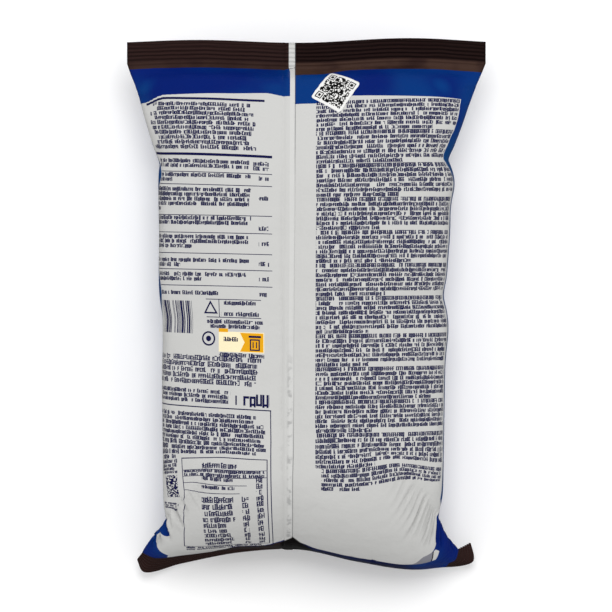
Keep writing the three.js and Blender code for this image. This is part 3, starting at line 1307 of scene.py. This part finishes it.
@dataclass(frozen=True)
class Panel:
    """The white panel on the back, in mm of film: across from the seam, positive to the right, and
    down from the top edge. Its lines are given as changes from a first value, and the rows printed
    on it run a little aslant, by slopes that change down the film."""

    seam: float = 2.0
    corner: float = 2.5
    top: float = 39.4
    bottom: float = 321.0
    left: float = -86.0
    right: float = 94.0
    bottom_line: tuple[Step, ...] = (
        Step(-50, -32, -21),
        Step(-18, -3, -7),
        Step(3, 17, 6),
        Step(50, 70, 2),
        Step(72, 80, -4.9),
    )
    left_line: tuple[Step | Bulge, ...] = (
        Bulge(84, 12, 9),
        Bulge(146, 18, 8),
        Step(287, 292, 14),
        Step(292, 297, -10),
        Step(299, 312, 10),
    )
    right_line: tuple[Step | Bulge, ...] = (
        Step(60, 90, 3),
        Bulge(72, 20, -5.5),
        Bulge(279, 9, 6),
        Step(283, 288, -2.5),
        Step(287, 298, -8),
    )
    left_slope_first: float = 0.055
    left_slope: tuple[Step, ...] = (
        Step(73, 105, -0.031),
        Step(140, 200, 0.026),
        Step(222, 246, -0.18),
        Step(246, 262, -0.07),
        Step(265, 292, 0.2),
    )
    right_slope_first: float = 0.045
    right_slope: tuple[Step, ...] = (Step(50, 110, -0.033), Step(215, 245, -0.02))

    def inside(self, u: Signal, v: Signal) -> Signal:
        """Marks the panel, whose lower corners are rounded.

        Args:
            u: The place round the film.
            v: The place down the film.

        Returns:
            1 on the panel, else 0.
        """
        rise = (v - self.end(u) + self.corner).most(0)
        side = (self.past_sides(u, v) + self.corner).most(0)
        rounded = (rise * rise + side * side).root().below(self.corner)
        return rounded * (v - self.dip(u)).above(self.top)

    def dip(self, u: Signal) -> Signal:
        """Works out how far the panel's upper edge dips towards the seam and the left side."""
        right = u.above(self.seam) * (u.ramp(30, 12) * 4.9 + 1.8)
        return right + u.ramp(-68, -82) * 3.5 + u.hump(-2, 12) * u.below(self.seam) * 2

    def end(self, u: Signal) -> Signal:
        """Works out where the panel ends at the bottom, where the film folds under: lower on the
        left, highest beside the seam and at the facet in its right corner."""
        return follow(u, self.bottom, self.bottom_line)

    def past_sides(self, u: Signal, v: Signal) -> Signal:
        """Works out how far a place lies outside the panel's sides, which waver where the film is
        drawn in.

        Args:
            u: The place round the film.
            v: The place down the film.

        Returns:
            The distance in mm, negative on the panel.
        """
        right = follow(v, self.right, self.right_line)
        left = follow(v, self.left, self.left_line)
        return (u - right).most(left - u)

    def straight(self, u: Signal, v: Signal) -> Signal:
        """Works out the place down the print, whose rows run a little aslant to the film's: the left
        half's fall to the right and rise near the bottom, and the right half's rise a little.

        Args:
            u: The place round the film.
            v: The place down the film.

        Returns:
            The place down the print in mm.
        """
        left = follow(v, self.left_slope_first, self.left_slope) * (u + 40.0)
        rise = follow(v, self.right_slope_first, self.right_slope) * (u - 13.0)
        right = u.ramp(52, 92) * v.ramp(222, 254) * 7.0 - rise + 0.55
        return v - left * u.below(0.0) - right * u.above(0.0)


@dataclass(frozen=True)
class SmallPrint:
    """The dark print on the panel: rules, blocks of rows, a field of stripes and a few plain marks.
    Nothing in it spells anything."""

    panel: Panel = Panel()
    word_gaps: float = 0.11
    stripe_field: Bar = Bar((-78.5, -54.5), (151.2, 168.6))
    stripe_pitch: float = 0.36
    cell_field: Bar = Bar((-77, -66), (245.7, 262))
    cell_size: float = 0.8
    ring_centre: tuple[float, float] = (-45.0, 170.9)
    ring_radius: float = 3.4
    dot_radius: float = 1.5
    triangle_centre: tuple[float, float] = (-43.5, 155.4)
    triangle_inner: float = 1.9
    head_rule: Bar = Bar((-81, -14), (42.3, 43.7))
    bars: tuple[Bar, ...] = (
        Bar((-84, -9.9), (73.4, 74.8)),
        *rules((-84, -9.9), (83.4, 89.9, 105.8, 115, 125.9, 134.4, 142.9)),
        *rules((-46, -16), (149.9, 159.3)),
        Bar((-38.9, -38.5), (150.1, 159.5)),
        Bar((-85, -10.7), (206.9, 207.5)),
        Bar((-11.3, -10.8), (206.9, 300)),
        Bar((-62.2, -61.7), (234.3, 296.3)),
        Bar((-62.2, -12.8), (234.3, 234.9)),
        *rules((-62.2, -12.8), (242.1, 246.8)),
        *rules((-62.2, -24), (251.3,)),
        *rules((-62.2, -28), (256.3,)),
        Bar((-62.2, -12.8), (295.8, 296.3)),
        Bar((-13.3, -12.8), (234.3, 296.3)),
    )
    blocks: tuple[Block, ...] = (
        Block(Type.HEAD, (-80, -18), (45, 72.5), 16, True),
        Block(Type.FINE, (-80, -21), (76, 81), 2),
        Block(Type.FINE, (-82, -21), (84.2, 86.5), 2),
        Block(Type.FINE, (-85, -66), (86.5, 89)),
        Block(Type.FINE, (-86, -21), (91.4, 101.3), 2),
        Block(Type.FINE, (-86, -74), (101.3, 103.8)),
        Block(Type.FINE, (-86, -21), (106.7, 111.6), 2),
        Block(Type.FINE, (-86, -21), (116, 121), 2),
        Block(Type.FINE, (-86, -52), (121, 123.5)),
        Block(Type.FINE, (-86, -21), (128, 130.4), 2),
        Block(Type.FINE, (-86, -60), (130.9, 133.3)),
        Block(Type.FINE, (-84, -21), (135.9, 138.3), 2),
        Block(Type.FINE, (-84, -45), (138.4, 140.8)),
        Block(Type.FINE, (-80, -38), (144.5, 147)),
        *figures((-20, -11.5), (75.8, 79.3)),
        *figures((-17, -11.5), (86, 96.4, 110, 118.8, 129.7, 137.3, 144.6)),
        Block(Type.FINE, (-36, -18), (151.4, 153.9), 1),
        Block(Type.HEAD, (-37.5, -17), (155.6, 158.3), 0.5),
        Block(Type.FINE, (-46, -15), (160, 165), 6, True),
        Block(Type.HEAD, (-36.5, -28.5), (170.6, 173.4), 0.5),
        Block(Type.FINE, (-39, -14), (178, 180.4), 0.5),
        Block(Type.LOOSE, (-84, -14), (180.6, 196.2), 5),
        Block(Type.FINE, (-84, -32), (197.5, 206), 2),
        Block(Type.FIGURE, (-30, -11.5), (199, 205.5), 0.5),
        Block(Type.FINE, (-84, -13.5), (209.6, 233), 7),
        Block(Type.WIDE, (-50, -28), (236.8, 240.6), 1, True),
        Block(Type.FINE, (-82, -65), (232, 244), 3),
        Block(Type.FINE, (-82, -65), (266, 273), 3),
        Block(Type.FINE, (-61, -14), (243, 246.2), 2),
        Block(Type.FINE, (-50, -30), (248, 250.7), 2),
        Block(Type.FINE, (-50, -30), (252.6, 255.4), 2),
        Block(Type.WIDE, (-50, -31), (258, 296), 6),
        Block(Type.WIDE, (-27, -23), (258, 296), 1),
        Block(Type.WIDE, (-19, -15), (248, 296), 1),
        Block(Type.FINE, (-61, -14), (297.4, 300.6), 4),
        Block(Type.FINE, (13.5, 95), (44.6, 236.9), 2),
        Block(Type.FINE, (16.8, 94), (237.2, 246.9), 2),
        Block(Type.FINE, (16.8, 39), (247, 249.4), 1),
    )

    def ink(self, surface: Surface, u: Signal, v: Signal) -> Signal:
        """Adds up the rules, the stripes, the marks and the blocks of small print.

        Args:
            surface: The material.
            u: The place round the film.
            v: The place down the film.

        Returns:
            Where there is ink.
        """
        ink = self.head_rule.ink(u, v - self.panel.dip(u))
        for bar in self.bars:
            ink = ink + bar.ink(u, v)
        for kind in Type:
            ink = ink + self._letters(surface, kind, u, v)
        ink = ink + self._stripes(surface, u, v) + self._marks(u, v)
        return ink.least(1.0)

    def _letters(self, surface: Surface, kind: Type, u: Signal, v: Signal) -> Signal:
        """Prints stand-ins for small letters: in each cell of a row a random pair of stems and up to
        three cross strokes, with some cells left empty as gaps between words.

        Args:
            surface: The material.
            kind: The kind of print.
            u: The place round the film.
            v: The place down the film.

        Returns:
            Where there is ink.
        """
        pitch, advance, weight, seed = kind.value
        row = (v / pitch).floor()
        y = (v / pitch).fract()
        first, _, third = surface.dice(row, row * 0 + seed)
        cell = (u / advance + first * 7.0).floor()
        x = (u / advance + first * 7.0).fract()
        a, b, c = surface.dice(cell, row + seed)
        gap, _, _ = surface.dice(cell + 91.0, row + seed)
        tall = c.above(0.6)
        if kind is Type.FINE:
            tall = tall.most(self._in_paragraph(row).below(1.0) * u.above(0.0))
        upper = y + tall * 0.16
        body = upper.above(0.19) * (y - b.above(0.86) * 0.1).below(0.89)
        stems = x.within(0.02, 0.02 + weight) * a.above(0.04)
        stems = stems.most(x.within(0.68, 0.98) * b.above(0.6))
        strokes = upper.within(0.19, 0.37) * a.below(0.6)
        strokes = strokes.most(y.within(0.46, 0.62) * b.below(0.45))
        strokes = strokes.most(y.within(0.72, 0.89) * c.above(0.42)) * x.within(0.02, 0.95)
        letters = (stems * body).most(strokes) * gap.above(self.word_gaps)
        for_kind = [block for block in self.blocks if block.kind is kind]
        inside = for_kind[0].rows(u, row, first, third)
        for block in for_kind[1:]:
            inside = inside.most(block.rows(u, row, first, third))
        letters = letters * inside
        if kind is Type.FINE:
            letters = letters * self._paragraphs(row, u, third)
        return letters

    def _in_paragraph(self, row: Signal) -> Signal:
        """Counts the rows of the right block's paragraphs, 0.5 in the first row and 6.5 in the last.
        One paragraph is a row longer."""
        return ((row - row.above(63.5) - 17.5) / 7.0).fract() * 7.0

    def _paragraphs(self, row: Signal, u: Signal, end: Signal) -> Signal:
        """Lets the last row of each paragraph of the right block stop short.

        Args:
            row: The row's number.
            u: The place round the film.
            end: A random number for each row.

        Returns:
            0 where a last row has stopped, else 1.
        """
        stopped = self._in_paragraph(row).above(6.0) * u.above(end * 40.0 + 42.0)
        return stopped * -1.0 + 1.0

    def _stripes(self, surface: Surface, u: Signal, v: Signal) -> Signal:
        """Prints a field of upright stripes of random widths, and a small square of random cells.

        Args:
            surface: The material.
            u: The place round the film.
            v: The place down the film.

        Returns:
            Where there is ink.
        """
        dice, _, _ = surface.dice((u / self.stripe_pitch).floor(), (u * 0).floor())
        stripes = self.stripe_field.ink(u, v) * dice.above(0.45)
        dice, _, _ = surface.dice((u / self.cell_size).floor(), (v / self.cell_size).floor())
        return stripes + self.cell_field.ink(u, v) * dice.above(0.35)

    def _marks(self, u: Signal, v: Signal) -> Signal:
        """Prints plain marks: a ring with a dot, a triangle's outline, and a bin with its lid.

        Args:
            u: The place round the film.
            v: The place down the film.

        Returns:
            Where there is ink.
        """
        x, y = u - self.ring_centre[0], v - self.ring_centre[1]
        far = (x * x + y * y).root()
        ring = (far - self.ring_radius).size().below(0.45).most(far.below(self.dot_radius))
        x, y = u - self.triangle_centre[0], v - self.triangle_centre[1]
        slant = x.size() * 0.866 - y * 0.5
        triangle = (slant.most(y) - self.triangle_inner).size().below(0.42)
        basket = Bar((-22.2, -16.8), (170.4, 176.4)).ink(u, v)
        basket = basket - Bar((-21.5, -17.5), (171.1, 175.7)).ink(u, v)
        lid = Bar((-22.8, -16.2), (168.6, 169.7)).ink(u, v)
        slots = Bar((-20.7, -20.1), (171.8, 175)).ink(u, v)
        slots = slots + Bar((-18.9, -18.3), (171.8, 175)).ink(u, v)
        return ring + triangle + basket + lid + slots


@dataclass(frozen=True)
class FrontPrint:
    """The front's print, which the photograph doesn't show: a round field with one crisp in its
    middle and the others round it. Lengths are in mm of film, and angles in radians."""

    ground: Colour = paint(14, 84, 178)
    ring: Colour = paint(193, 193, 191)
    crisp: Colour = paint(226, 168, 60)
    rim: Colour = paint(170, 100, 34)
    centre: tuple[float, float] = (-182.0, 150.0)
    radius: float = 62.0
    crisps: int = 6
    apart: float = 34.0
    size: tuple[float, float] = (20.0, 14.5)
    first_angle: float = 0.3
    angle_step: float = 1.05
    turn_step: float = 2.4

    def lay(
        self, surface: Surface, u: Signal, v: Signal, colour: bpy.types.NodeSocket
    ) -> bpy.types.NodeSocket:
        """Prints the front: a pale ring with a few crisps in it, each an oval with a browned rim.

        Args:
            surface: The material.
            u: The place round the film.
            v: The place down the film.
            colour: What lies under the print.

        Returns:
            The colour.
        """
        x, y = u - self.centre[0], v - self.centre[1]
        far = (x * x + y * y).root()
        colour = surface.blend(far.below(self.radius), colour, self.ground)
        ring = (far - (self.radius + 1.5)).size().below(1.2)
        colour = surface.blend(ring, colour, self.ring)
        for k in range(self.crisps):
            angle = self.angle_step * k + self.first_angle
            away = self.apart if k else 0.0
            cx, cy = away * math.cos(angle), away * math.sin(angle)
            turn = self.turn_step * k
            p = (x - cx) * math.cos(turn) + (y - cy) * math.sin(turn)
            q = (y - cy) * math.cos(turn) - (x - cx) * math.sin(turn)
            long, short = self.size
            oval = ((p * p) / long**2 + (q * q) / short**2).root()
            colour = surface.blend(oval.below(1.0), colour, self.rim)
            colour = surface.blend(oval.below(0.93), colour, self.crisp)
        return colour


@dataclass(frozen=True)
class FilmFinish:
    """The printed film: brown ends, a blue ground, the white panel with its small print on the back,
    the round field on the front, the seam's unprinted margin and the film's half gloss. Lengths
    are in mm of film, as in the panel."""

    white: Colour = paint(193, 193, 191)
    navy: Colour = paint(16, 18, 66)
    blue: Colour = paint(0, 27, 104)
    sheen_blue: Colour = paint(0, 54, 120)
    side_sheen_blue: Colour = paint(0, 64, 118)
    folded_under_shade: Colour = paint(2, 2, 54)
    brown: Colour = paint(46, 30, 28)
    painted_shade: Colour = paint(10, 4, 4)
    sheen_brown: Colour = paint(68, 49, 41)
    facet_shade: Colour = paint(128, 128, 136)
    cream: Colour = paint(240, 228, 190)
    yellow: Colour = paint(222, 160, 20)
    margin: Colour = paint(199, 199, 197)
    edge_shade_and_mark: Colour = paint(70, 70, 76)
    crumple_shade: Colour = paint(104, 104, 106)
    top_brown: float = 17.8
    bottom_brown: float = 336.0
    crimped: float = 12.4
    crimp_pitch: float = 2.33
    box: Bar = Bar((-39.2, -14.5), (166.9, 177.5))
    flag: Bar = Bar((-31, -14.9), (167.3, 177.1))
    tab: Bar = Bar((-39.2, -34), (165.3, 167.2))
    print_margin: float = 0.6
    roughness: float = 0.34
    dent_depth: float = 0.0012
    grain_depth: float = 0.00006
    specular: float = 0.12
    lap: Lap = Lap()
    panel: Panel = Panel()
    small_print: SmallPrint = SmallPrint()
    front: FrontPrint = FrontPrint()

    def apply(self, obj: bpy.types.Object) -> None:
        """Builds the material and gives it to the film.

        Args:
            obj: The film's object.
        """
        surface = Surface("printed_film")
        u, v = surface.place_on("film")
        colour = self._ground(surface, u, v)
        colour = self.front.lay(surface, u, v, colour)
        straight = self.panel.straight(u, v)
        on_panel = self.panel.past_sides(u, v).below(-self.print_margin)
        ink = self.small_print.ink(surface, u, straight) * on_panel
        colour = surface.blend(self.box.ink(u, straight), colour, self.cream)
        colour = surface.blend(self._yellow_flag(u, straight), colour, self.yellow)
        colour = surface.blend(ink, colour, self.navy)
        colour = self._seam(surface, u, v, colour)
        surface.feed("Base Color", colour)
        self._gloss(surface)
        obj.data.materials.append(surface.material)

    def _ground(self, surface: Surface, u: Signal, v: Signal) -> bpy.types.NodeSocket:
        """Lays the brown ends, the blue and the white panel with its rounded lower corners. On the blue
        and the brown it paints sheen, and it paints shade in the crimps, where the film turns under at
        the bottom and on the folded corner.

        Args:
            surface: The material.
            u: The place round the film.
            v: The place down the film.

        Returns:
            The colour.
        """
        past, right = self.panel.past_sides(u, v), u.above(self.panel.seam)
        where = surface.in_object()
        waver = surface.clouds(where, 60.0, 2.0)
        brown = self._brown(u, v, waver)
        # painted sheen: a lighter blue where the film turns down at the bag's side edges, beside the panel
        sides = past.ramp(-1, 1) * v.ramp(52, 76) * v.ramp(292, 268) * u.size().ramp(126, 104)
        # painted shade: near-black blue where the film turns under at the bottom, right of the seam
        fold = u.within(self.panel.seam, 200) * u.ramp(80, 64) * v.above(280)
        # painted sheen: the blue turns lighter where the sheen mask is high
        colour = surface.blend(self._sheen(surface, where, u, v), self.blue, self.sheen_blue)
        colour = surface.blend(sides * 0.8, colour, self.side_sheen_blue)
        colour = surface.blend(fold * 0.8, colour, self.folded_under_shade)
        colour = surface.blend(self.panel.inside(u, v), colour, self.white)
        # painted sheen: lighter brown streaks in the top seal below its crimps, stronger right of the seam
        brown_sheen_share = v.ramp(11.8, 13.4) * v.below(24) * waver.ramp(0.32, 0.58) * (right * 0.5 + 0.35)
        colour = surface.blend(brown, colour, surface.blend(brown_sheen_share, self.brown, self.sheen_brown))
        colour = self._folded_corner(surface, u, v, colour)
        # painted shade: dark lines in the grooves between the crimps, and a darker upper band right of the
        # seam
        crimp_shade = ((v + waver * 2.0) / self.crimp_pitch).fract().within(0.05, 0.5)
        crimp_shade = crimp_shade * v.below(self.crimped)
        crimp_shade = crimp_shade.most(v.ramp(13.4, 11.8) * right * 0.6)
        return surface.blend(crimp_shade * (right * 0.35 + 0.45), colour, self.painted_shade)

    def _brown(self, u: Signal, v: Signal, waver: Signal) -> Signal:
        """Marks the brown ends. The top one is deeper on the right of the seam, where the print has
        slipped. The bottom one starts at the panel on the left, and lower down on the right.

        Args:
            u: The place round the film.
            v: The place down the film.
            waver: Soft noise.

        Returns:
            Where the film is brown.
        """
        slip = u.above(self.panel.seam) * (u.ramp(32, 14) * 3.5 + 3)
        top = (v - slip + (waver - 0.5) * 1.6).below(self.top_brown)
        end = self.panel.end(u) + 1.0
        end = end + (end * -1.0 + self.bottom_brown) * u.ramp(2, 14) - u.ramp(80, 92) * 11
        return top.most((v - end).above(0.0))

    def _sheen(
        self, surface: Surface, where: bpy.types.NodeSocket, u: Signal, v: Signal
    ) -> Signal:
        """Marks where the blue is painted lighter, as a painted sheen: in soft clouds, beside the seam's
        top and in the folds that slant down from the top corners.

        Args:
            surface: The material.
            where: The object's coordinates.
            u: The place round the film.
            v: The place down the film.

        Returns:
            How much lighter, from 0 to 1.
        """
        sheen = surface.clouds(where, 28.0, 1.0).ramp(0.4, 0.66) * 0.8
        sheen = sheen.most(v.hump(36, 9) * u.hump(-8, 16) * 0.7)
        return sheen.most(v.hump(34, 10) * (u.size() - v * 0.4 - 68).hump(0, 9) * 0.9)

    def _folded_corner(
        self, surface: Surface, u: Signal, v: Signal, colour: bpy.types.NodeSocket
    ) -> bpy.types.NodeSocket:
        """Lays the three-cornered facet where the panel's right corner is folded over: painted shade, with
        a white tip beyond a dark line of painted shade.

        Args:
            surface: The material.
            u: The place round the film.
            v: The place down the film.
            colour: What lies under it.

        Returns:
            The colour.
        """
        upper = (v - self.panel.end(u)).above(0.0) * (v - 294.8).above(0.0)
        lower = (v - (u - 71.7) * 0.13 - 301.3).below(0.0)
        facet = upper * lower * (u + (v - 298.7).size() * 0.8).below(90.4) * u.above(71.0)
        past_line = u + (v - 299.0) * 0.35 - 85.2
        # painted shade: the facet is darker, and a dark line crosses it before the white tip
        colour = surface.blend(facet, colour, self.facet_shade)
        colour = surface.blend(facet * past_line.above(0.0), colour, self.white)
        return surface.blend(facet * past_line.size().below(0.4), colour, self.painted_shade)

    def _yellow_flag(self, u: Signal, v: Signal) -> Signal:
        """Marks the yellow end of the pale box, whose left side is slanted, and a yellow tab.

        Args:
            u: The place round the film.
            v: The place down the film.

        Returns:
            1 where it is yellow, else 0.
        """
        tip = (v - 172.2).size() * -0.5 - 25.0
        return (self.flag.ink(u, v) * (u - tip).above(0.0)).most(self.tab.ink(u, v))

    def _seam(
        self, surface: Surface, u: Signal, v: Signal, colour: bpy.types.NodeSocket
    ) -> bpy.types.NodeSocket:
        """Leaves the lap's outer margin unprinted, and paints shade on it: a dark line where its edge is
        cut, mid-toned patches where it crumples and a dark notch at its lower end. It also draws a
        slanting dark mark by the top seal.

        Args:
            surface: The material.
            u: The place round the film.
            v: The place down the film.
            colour: The print.

        Returns:
            The colour.
        """
        lap = self.lap
        edge = v.ramp(lap.slant_from, lap.slant_to) * -lap.slant + lap.edge
        from_edge = u - edge
        margin = (from_edge - v.ramp(15, 22) * 0.7 + 3.3).above(0.0) * from_edge.below(0.0)
        colour = surface.blend(margin, colour, self.margin)
        mark = (v - 16.6 + (from_edge + 1.6) * 0.45).size().below(0.3) * margin
        # painted shade along the lap's cut edge, stronger near both ends
        strength = v.ramp(100, 60) * 0.45 + v.ramp(190, 235) * 0.5 + 0.1
        line = (from_edge - 0.2).size().below(0.22) * strength
        colour = surface.blend(line.most(mark), colour, self.edge_shade_and_mark)
        # painted shade in patches where the lap crumples
        patches = surface.clouds(surface.in_object(), 240.0, 3.0).ramp(0.46, 0.6)
        crumple_shade = (from_edge + 1.9).size().ramp(2.2, 0.6) * v.ramp(165, 205) * patches * 0.42
        colour = surface.blend(crumple_shade, colour, self.crumple_shade)
        # painted shade in the dark notch at the seam's lower end
        notch = (v - (u - 1.0).size() * 1.2 - 287.5).ramp(-1.0, 1.0) * u.within(-7, 12)
        return surface.blend(notch, colour, self.painted_shade)

    def _gloss(self, surface: Surface) -> None:
        """Gives the film its half gloss, with fine unevenness and small dents.

        Args:
            surface: The material.
        """
        where = surface.in_object()
        fine = surface.clouds(where, 900.0, 3.0)
        soft = surface.clouds(where, 70.0, 3.0)
        rough = (soft - 0.5) * 0.16 + self.roughness
        surface.feed("Roughness", rough.socket)
        normal = surface.bump(soft, self.dent_depth)
        normal = surface.bump(fine, self.grain_depth, normal)
        surface.feed("Normal", normal)
        surface.shader.inputs["Specular IOR Level"].default_value = self.specular


@dataclass
class Label:
    """The small square code label, stuck on the back near the top seal. It is drawn a little askew
    with the film under it: squashed across, with its sides leaning."""

    size: float = 22.0
    squash: float = 0.85
    centre: tuple[float, float] = (23.9, 37.5)
    turn: float = 31.7
    lean: float = -1.5
    thickness: float = 0.12
    gap: float = 0.05
    corner: float = 1.8
    steps: int = 48

    def build(self, film: BagFilm) -> bpy.types.Object:
        """Lays the label on the film: a thin closed tile with rounded corners.

        Args:
            film: The film under it.

        Returns:
            The label's object.
        """
        p, q = self._outline()
        angle, other = math.radians(self.turn), math.radians(self.turn + self.lean)
        across = p * self.squash
        u = self.centre[0] + across * math.cos(angle) - q * math.sin(other)
        v = self.centre[1] + across * math.sin(angle) + q * math.cos(other)
        place, normal = film.at(u, v)
        upper = place + normal * (self.gap + self.thickness)
        lower = place + normal * self.gap
        faces = self._faces()
        points = np.concatenate([upper.reshape(-1, 3), lower.reshape(-1, 3)]) * MM
        mesh = new_mesh("code_label", points, faces.ravel(), np.full(len(faces), 4))
        places = np.stack([p, q], axis=-1).reshape(-1, 2)
        corners = places[faces.ravel() % len(places)] * MM
        for name, values in (("label", corners), ("OFBake", corners / (self.size * MM) * 0.96 + 0.5)):
            mesh.uv_layers.new(name=name).data.foreach_set("uv", values.astype(np.float32).ravel())
        return new_object("code_label", mesh)

    def _faces(self) -> np.ndarray:
        """Joins the upper grid, the lower grid and the wall between them.

        Returns:
            Vertex numbers of the quads, facing out.
        """
        side = self.steps + 1
        below = side * side
        grid = np.arange(below).reshape(side, side)
        quads = np.stack([grid[:-1, :-1], grid[1:, :-1], grid[1:, 1:], grid[:-1, 1:]], axis=-1)
        quads = quads.reshape(-1, 4)
        rim = np.concatenate([grid[0, :-1], grid[:-1, -1], grid[-1, :0:-1], grid[:0:-1, 0]])
        after = np.roll(rim, -1)
        wall = np.stack([rim, after, after + below, rim + below], axis=-1)
        return np.concatenate([quads, quads[:, ::-1] + below, wall])

    def _outline(self) -> tuple[np.ndarray, np.ndarray]:
        """Spreads a grid over a square whose corners are rounded: each point moves in towards the
        middle by as much as the rounded edge lies inside the square there.

        Returns:
            The places across and down in mm.
        """
        line = np.linspace(-1, 1, self.steps + 1)
        q, p = np.meshgrid(line, line, indexing="ij")
        half = self.size / 2
        most = np.maximum(np.abs(p), np.abs(q))
        least = np.minimum(np.abs(p), np.abs(q))
        slope = least / np.maximum(most, 1e-9)
        start = half - self.corner
        a = 1 + slope**2
        b = start * (1 + slope)
        c = 2 * start**2 - self.corner**2
        arc = (b + np.sqrt(np.maximum(b**2 - a * c, 0))) / a
        reach = np.where(slope * half > start, arc, half)
        scale = mix(half, reach, most**8)
        return p * scale, q * scale


@dataclass(frozen=True)
class LabelFinish:
    """The label: white, with a square of random dark cells that codes nothing. Three of its corners
    hold a plain square in a square frame."""

    white: Colour = paint(229, 229, 227)
    ink: Colour = paint(8, 8, 10)
    cell: float = 0.62
    cells: int = 30
    light_share: float = 0.32
    frame_cells: int = 7

    def apply(self, obj: bpy.types.Object) -> None:
        """Builds the material and gives it to the label.

        Args:
            obj: The label's object.
        """
        surface = Surface("printed_label")
        u, v = surface.place_on("label")
        half = self.cell * self.cells / 2
        x, y = (u + half) / self.cell, (v + half) / self.cell
        dice, _, _ = surface.dice(x.floor(), y.floor())
        inside = u.within(-half, half) * v.within(-half, half)
        dark = dice.above(self.light_share)
        near = self.frame_cells / 2
        far = self.cells - near
        for corner_x, corner_y in ((near, near), (far, near), (near, far)):
            away = (x - corner_x).size().most((y - corner_y).size())
            square = away.below(near - 2).most(away.within(near - 1, near))
            dark = (dark * away.above(near + 1)).most(square)
        surface.feed("Base Color", surface.blend(dark * inside, self.white, self.ink))
        soft = surface.clouds(surface.in_object(), 300.0)
        surface.feed("Roughness", ((soft - 0.5) * 0.2 + 0.45).socket)
        surface.feed("Normal", surface.bump(soft, 0.0002))
        obj.data.materials.append(surface.material)


@dataclass(frozen=True)
class Lamp:
    """A square softbox that faces the bag: where it hangs and its width in metres, and its power in
    watts."""

    name: str
    place: tuple[float, float, float]
    size: float
    power: float
    aim: tuple[float, float, float] = (0.0, 0.0, 0.03)

    def hang(self) -> None:
        """Adds the lamp to the scene. It isn't seen in reflections."""
        data = bpy.data.lights.new(self.name, "AREA")
        data.size = self.size
        data.energy = self.power
        lamp = bpy.data.objects.new(self.name, data)
        lamp.location = self.place
        lamp.visible_glossy = False
        way = Vector(self.aim) - Vector(self.place)
        lamp.rotation_euler = way.to_track_quat("-Z", "Y").to_euler()
        bpy.context.scene.collection.objects.link(lamp)


@dataclass(frozen=True)
class Studio:
    """The pale floor, the soft light and the camera, which looks straight down, in metres."""

    frame_width: float = 0.3248
    lens: float = 300.0
    sensor: float = 36.0
    look_at: tuple[float, float, float] = (-0.0002, 0.0004, 0.036)
    floor_half: float = 1.5
    floor_glow: float = 0.1
    sky: float = 0.74
    sky_in_gloss: float = 0.06
    lamps: tuple[Lamp, ...] = (
        Lamp("key", (0.05, 0.52, 1.42), 0.7, 9.5),
        Lamp("left_fill", (-1.2, 0.3, 0.6), 0.5, 1.6),
        Lamp("right_fill", (1.2, 0.3, 0.6), 0.5, 1.6),
    )

    def build(self) -> None:
        """Sets up floor, lights and camera."""
        self._floor()
        self._lights()
        self._camera()
        bpy.context.scene.view_settings.view_transform = "Standard"

    def _floor(self) -> None:
        """Makes a plain pale floor that glows a little and isn't seen in reflections."""
        half = self.floor_half
        corners = np.array([[-half, -half, 0], [half, -half, 0], [half, half, 0], [-half, half, 0]])
        floor = new_object("floor", new_mesh("floor", corners, np.arange(4), np.array([4])))
        surface = Surface("pale_floor")
        surface.shader.inputs["Base Color"].default_value = (*paint(246, 246, 246), 1.0)
        surface.shader.inputs["Roughness"].default_value = 0.7
        surface.shader.inputs["Specular IOR Level"].default_value = 0.2
        surface.shader.inputs["Emission Color"].default_value = (1.0, 1.0, 1.0, 1.0)
        surface.shader.inputs["Emission Strength"].default_value = self.floor_glow
        floor.data.materials.append(surface.material)
        floor.visible_glossy = False

    def _lights(self) -> None:
        """Hangs a key softbox beyond the top seal and a fill on each side, under a pale sky that
        shows only faintly in reflections."""
        for lamp in self.lamps:
            lamp.hang()
        world = bpy.data.worlds.new("pale_sky")
        world.use_nodes = True
        tree = world.node_tree
        sky = tree.nodes["Background"]
        sky.inputs["Color"].default_value = (1.0, 1.0, 1.0, 1.0)
        path = Signal(tree, tree.nodes.new("ShaderNodeLightPath").outputs["Is Glossy Ray"])
        strength = path * (self.sky_in_gloss - self.sky) + self.sky
        tree.links.new(strength.socket, sky.inputs["Strength"])
        bpy.context.scene.world = world

    def _camera(self) -> None:
        """Hangs the camera over the bag, with the top seal at the top of the frame."""
        data = bpy.data.cameras.new("camera")
        data.lens = self.lens
        data.sensor_width = self.sensor
        camera = bpy.data.objects.new("camera", data)
        height = self.frame_width * self.lens / self.sensor
        x, y, z = self.look_at
        camera.location = (x, y, z + height)
        bpy.context.scene.collection.objects.link(camera)
        bpy.context.scene.camera = camera


def main() -> None:
    """Builds the bag, its label and the studio, in that order."""
    logging.basicConfig(level=logging.INFO, format="%(message)s")
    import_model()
    film = BagFilm()
    bag = film.build()
    FilmFinish().apply(bag)
    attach(bag, "root")
    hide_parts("bag")
    LOG.info("film: %d rows, %d columns, %.1f mm long", *film.points.shape[:2], film.v[-1])
    label = Label().build(film)
    LabelFinish().apply(label)
    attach(label, "root")
    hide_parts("label")
    LOG.info("label: %d faces", len(label.data.polygons))
    Studio().build()
    LOG.info("studio: floor, lamps and camera")


if __name__ == "__main__":
    main()
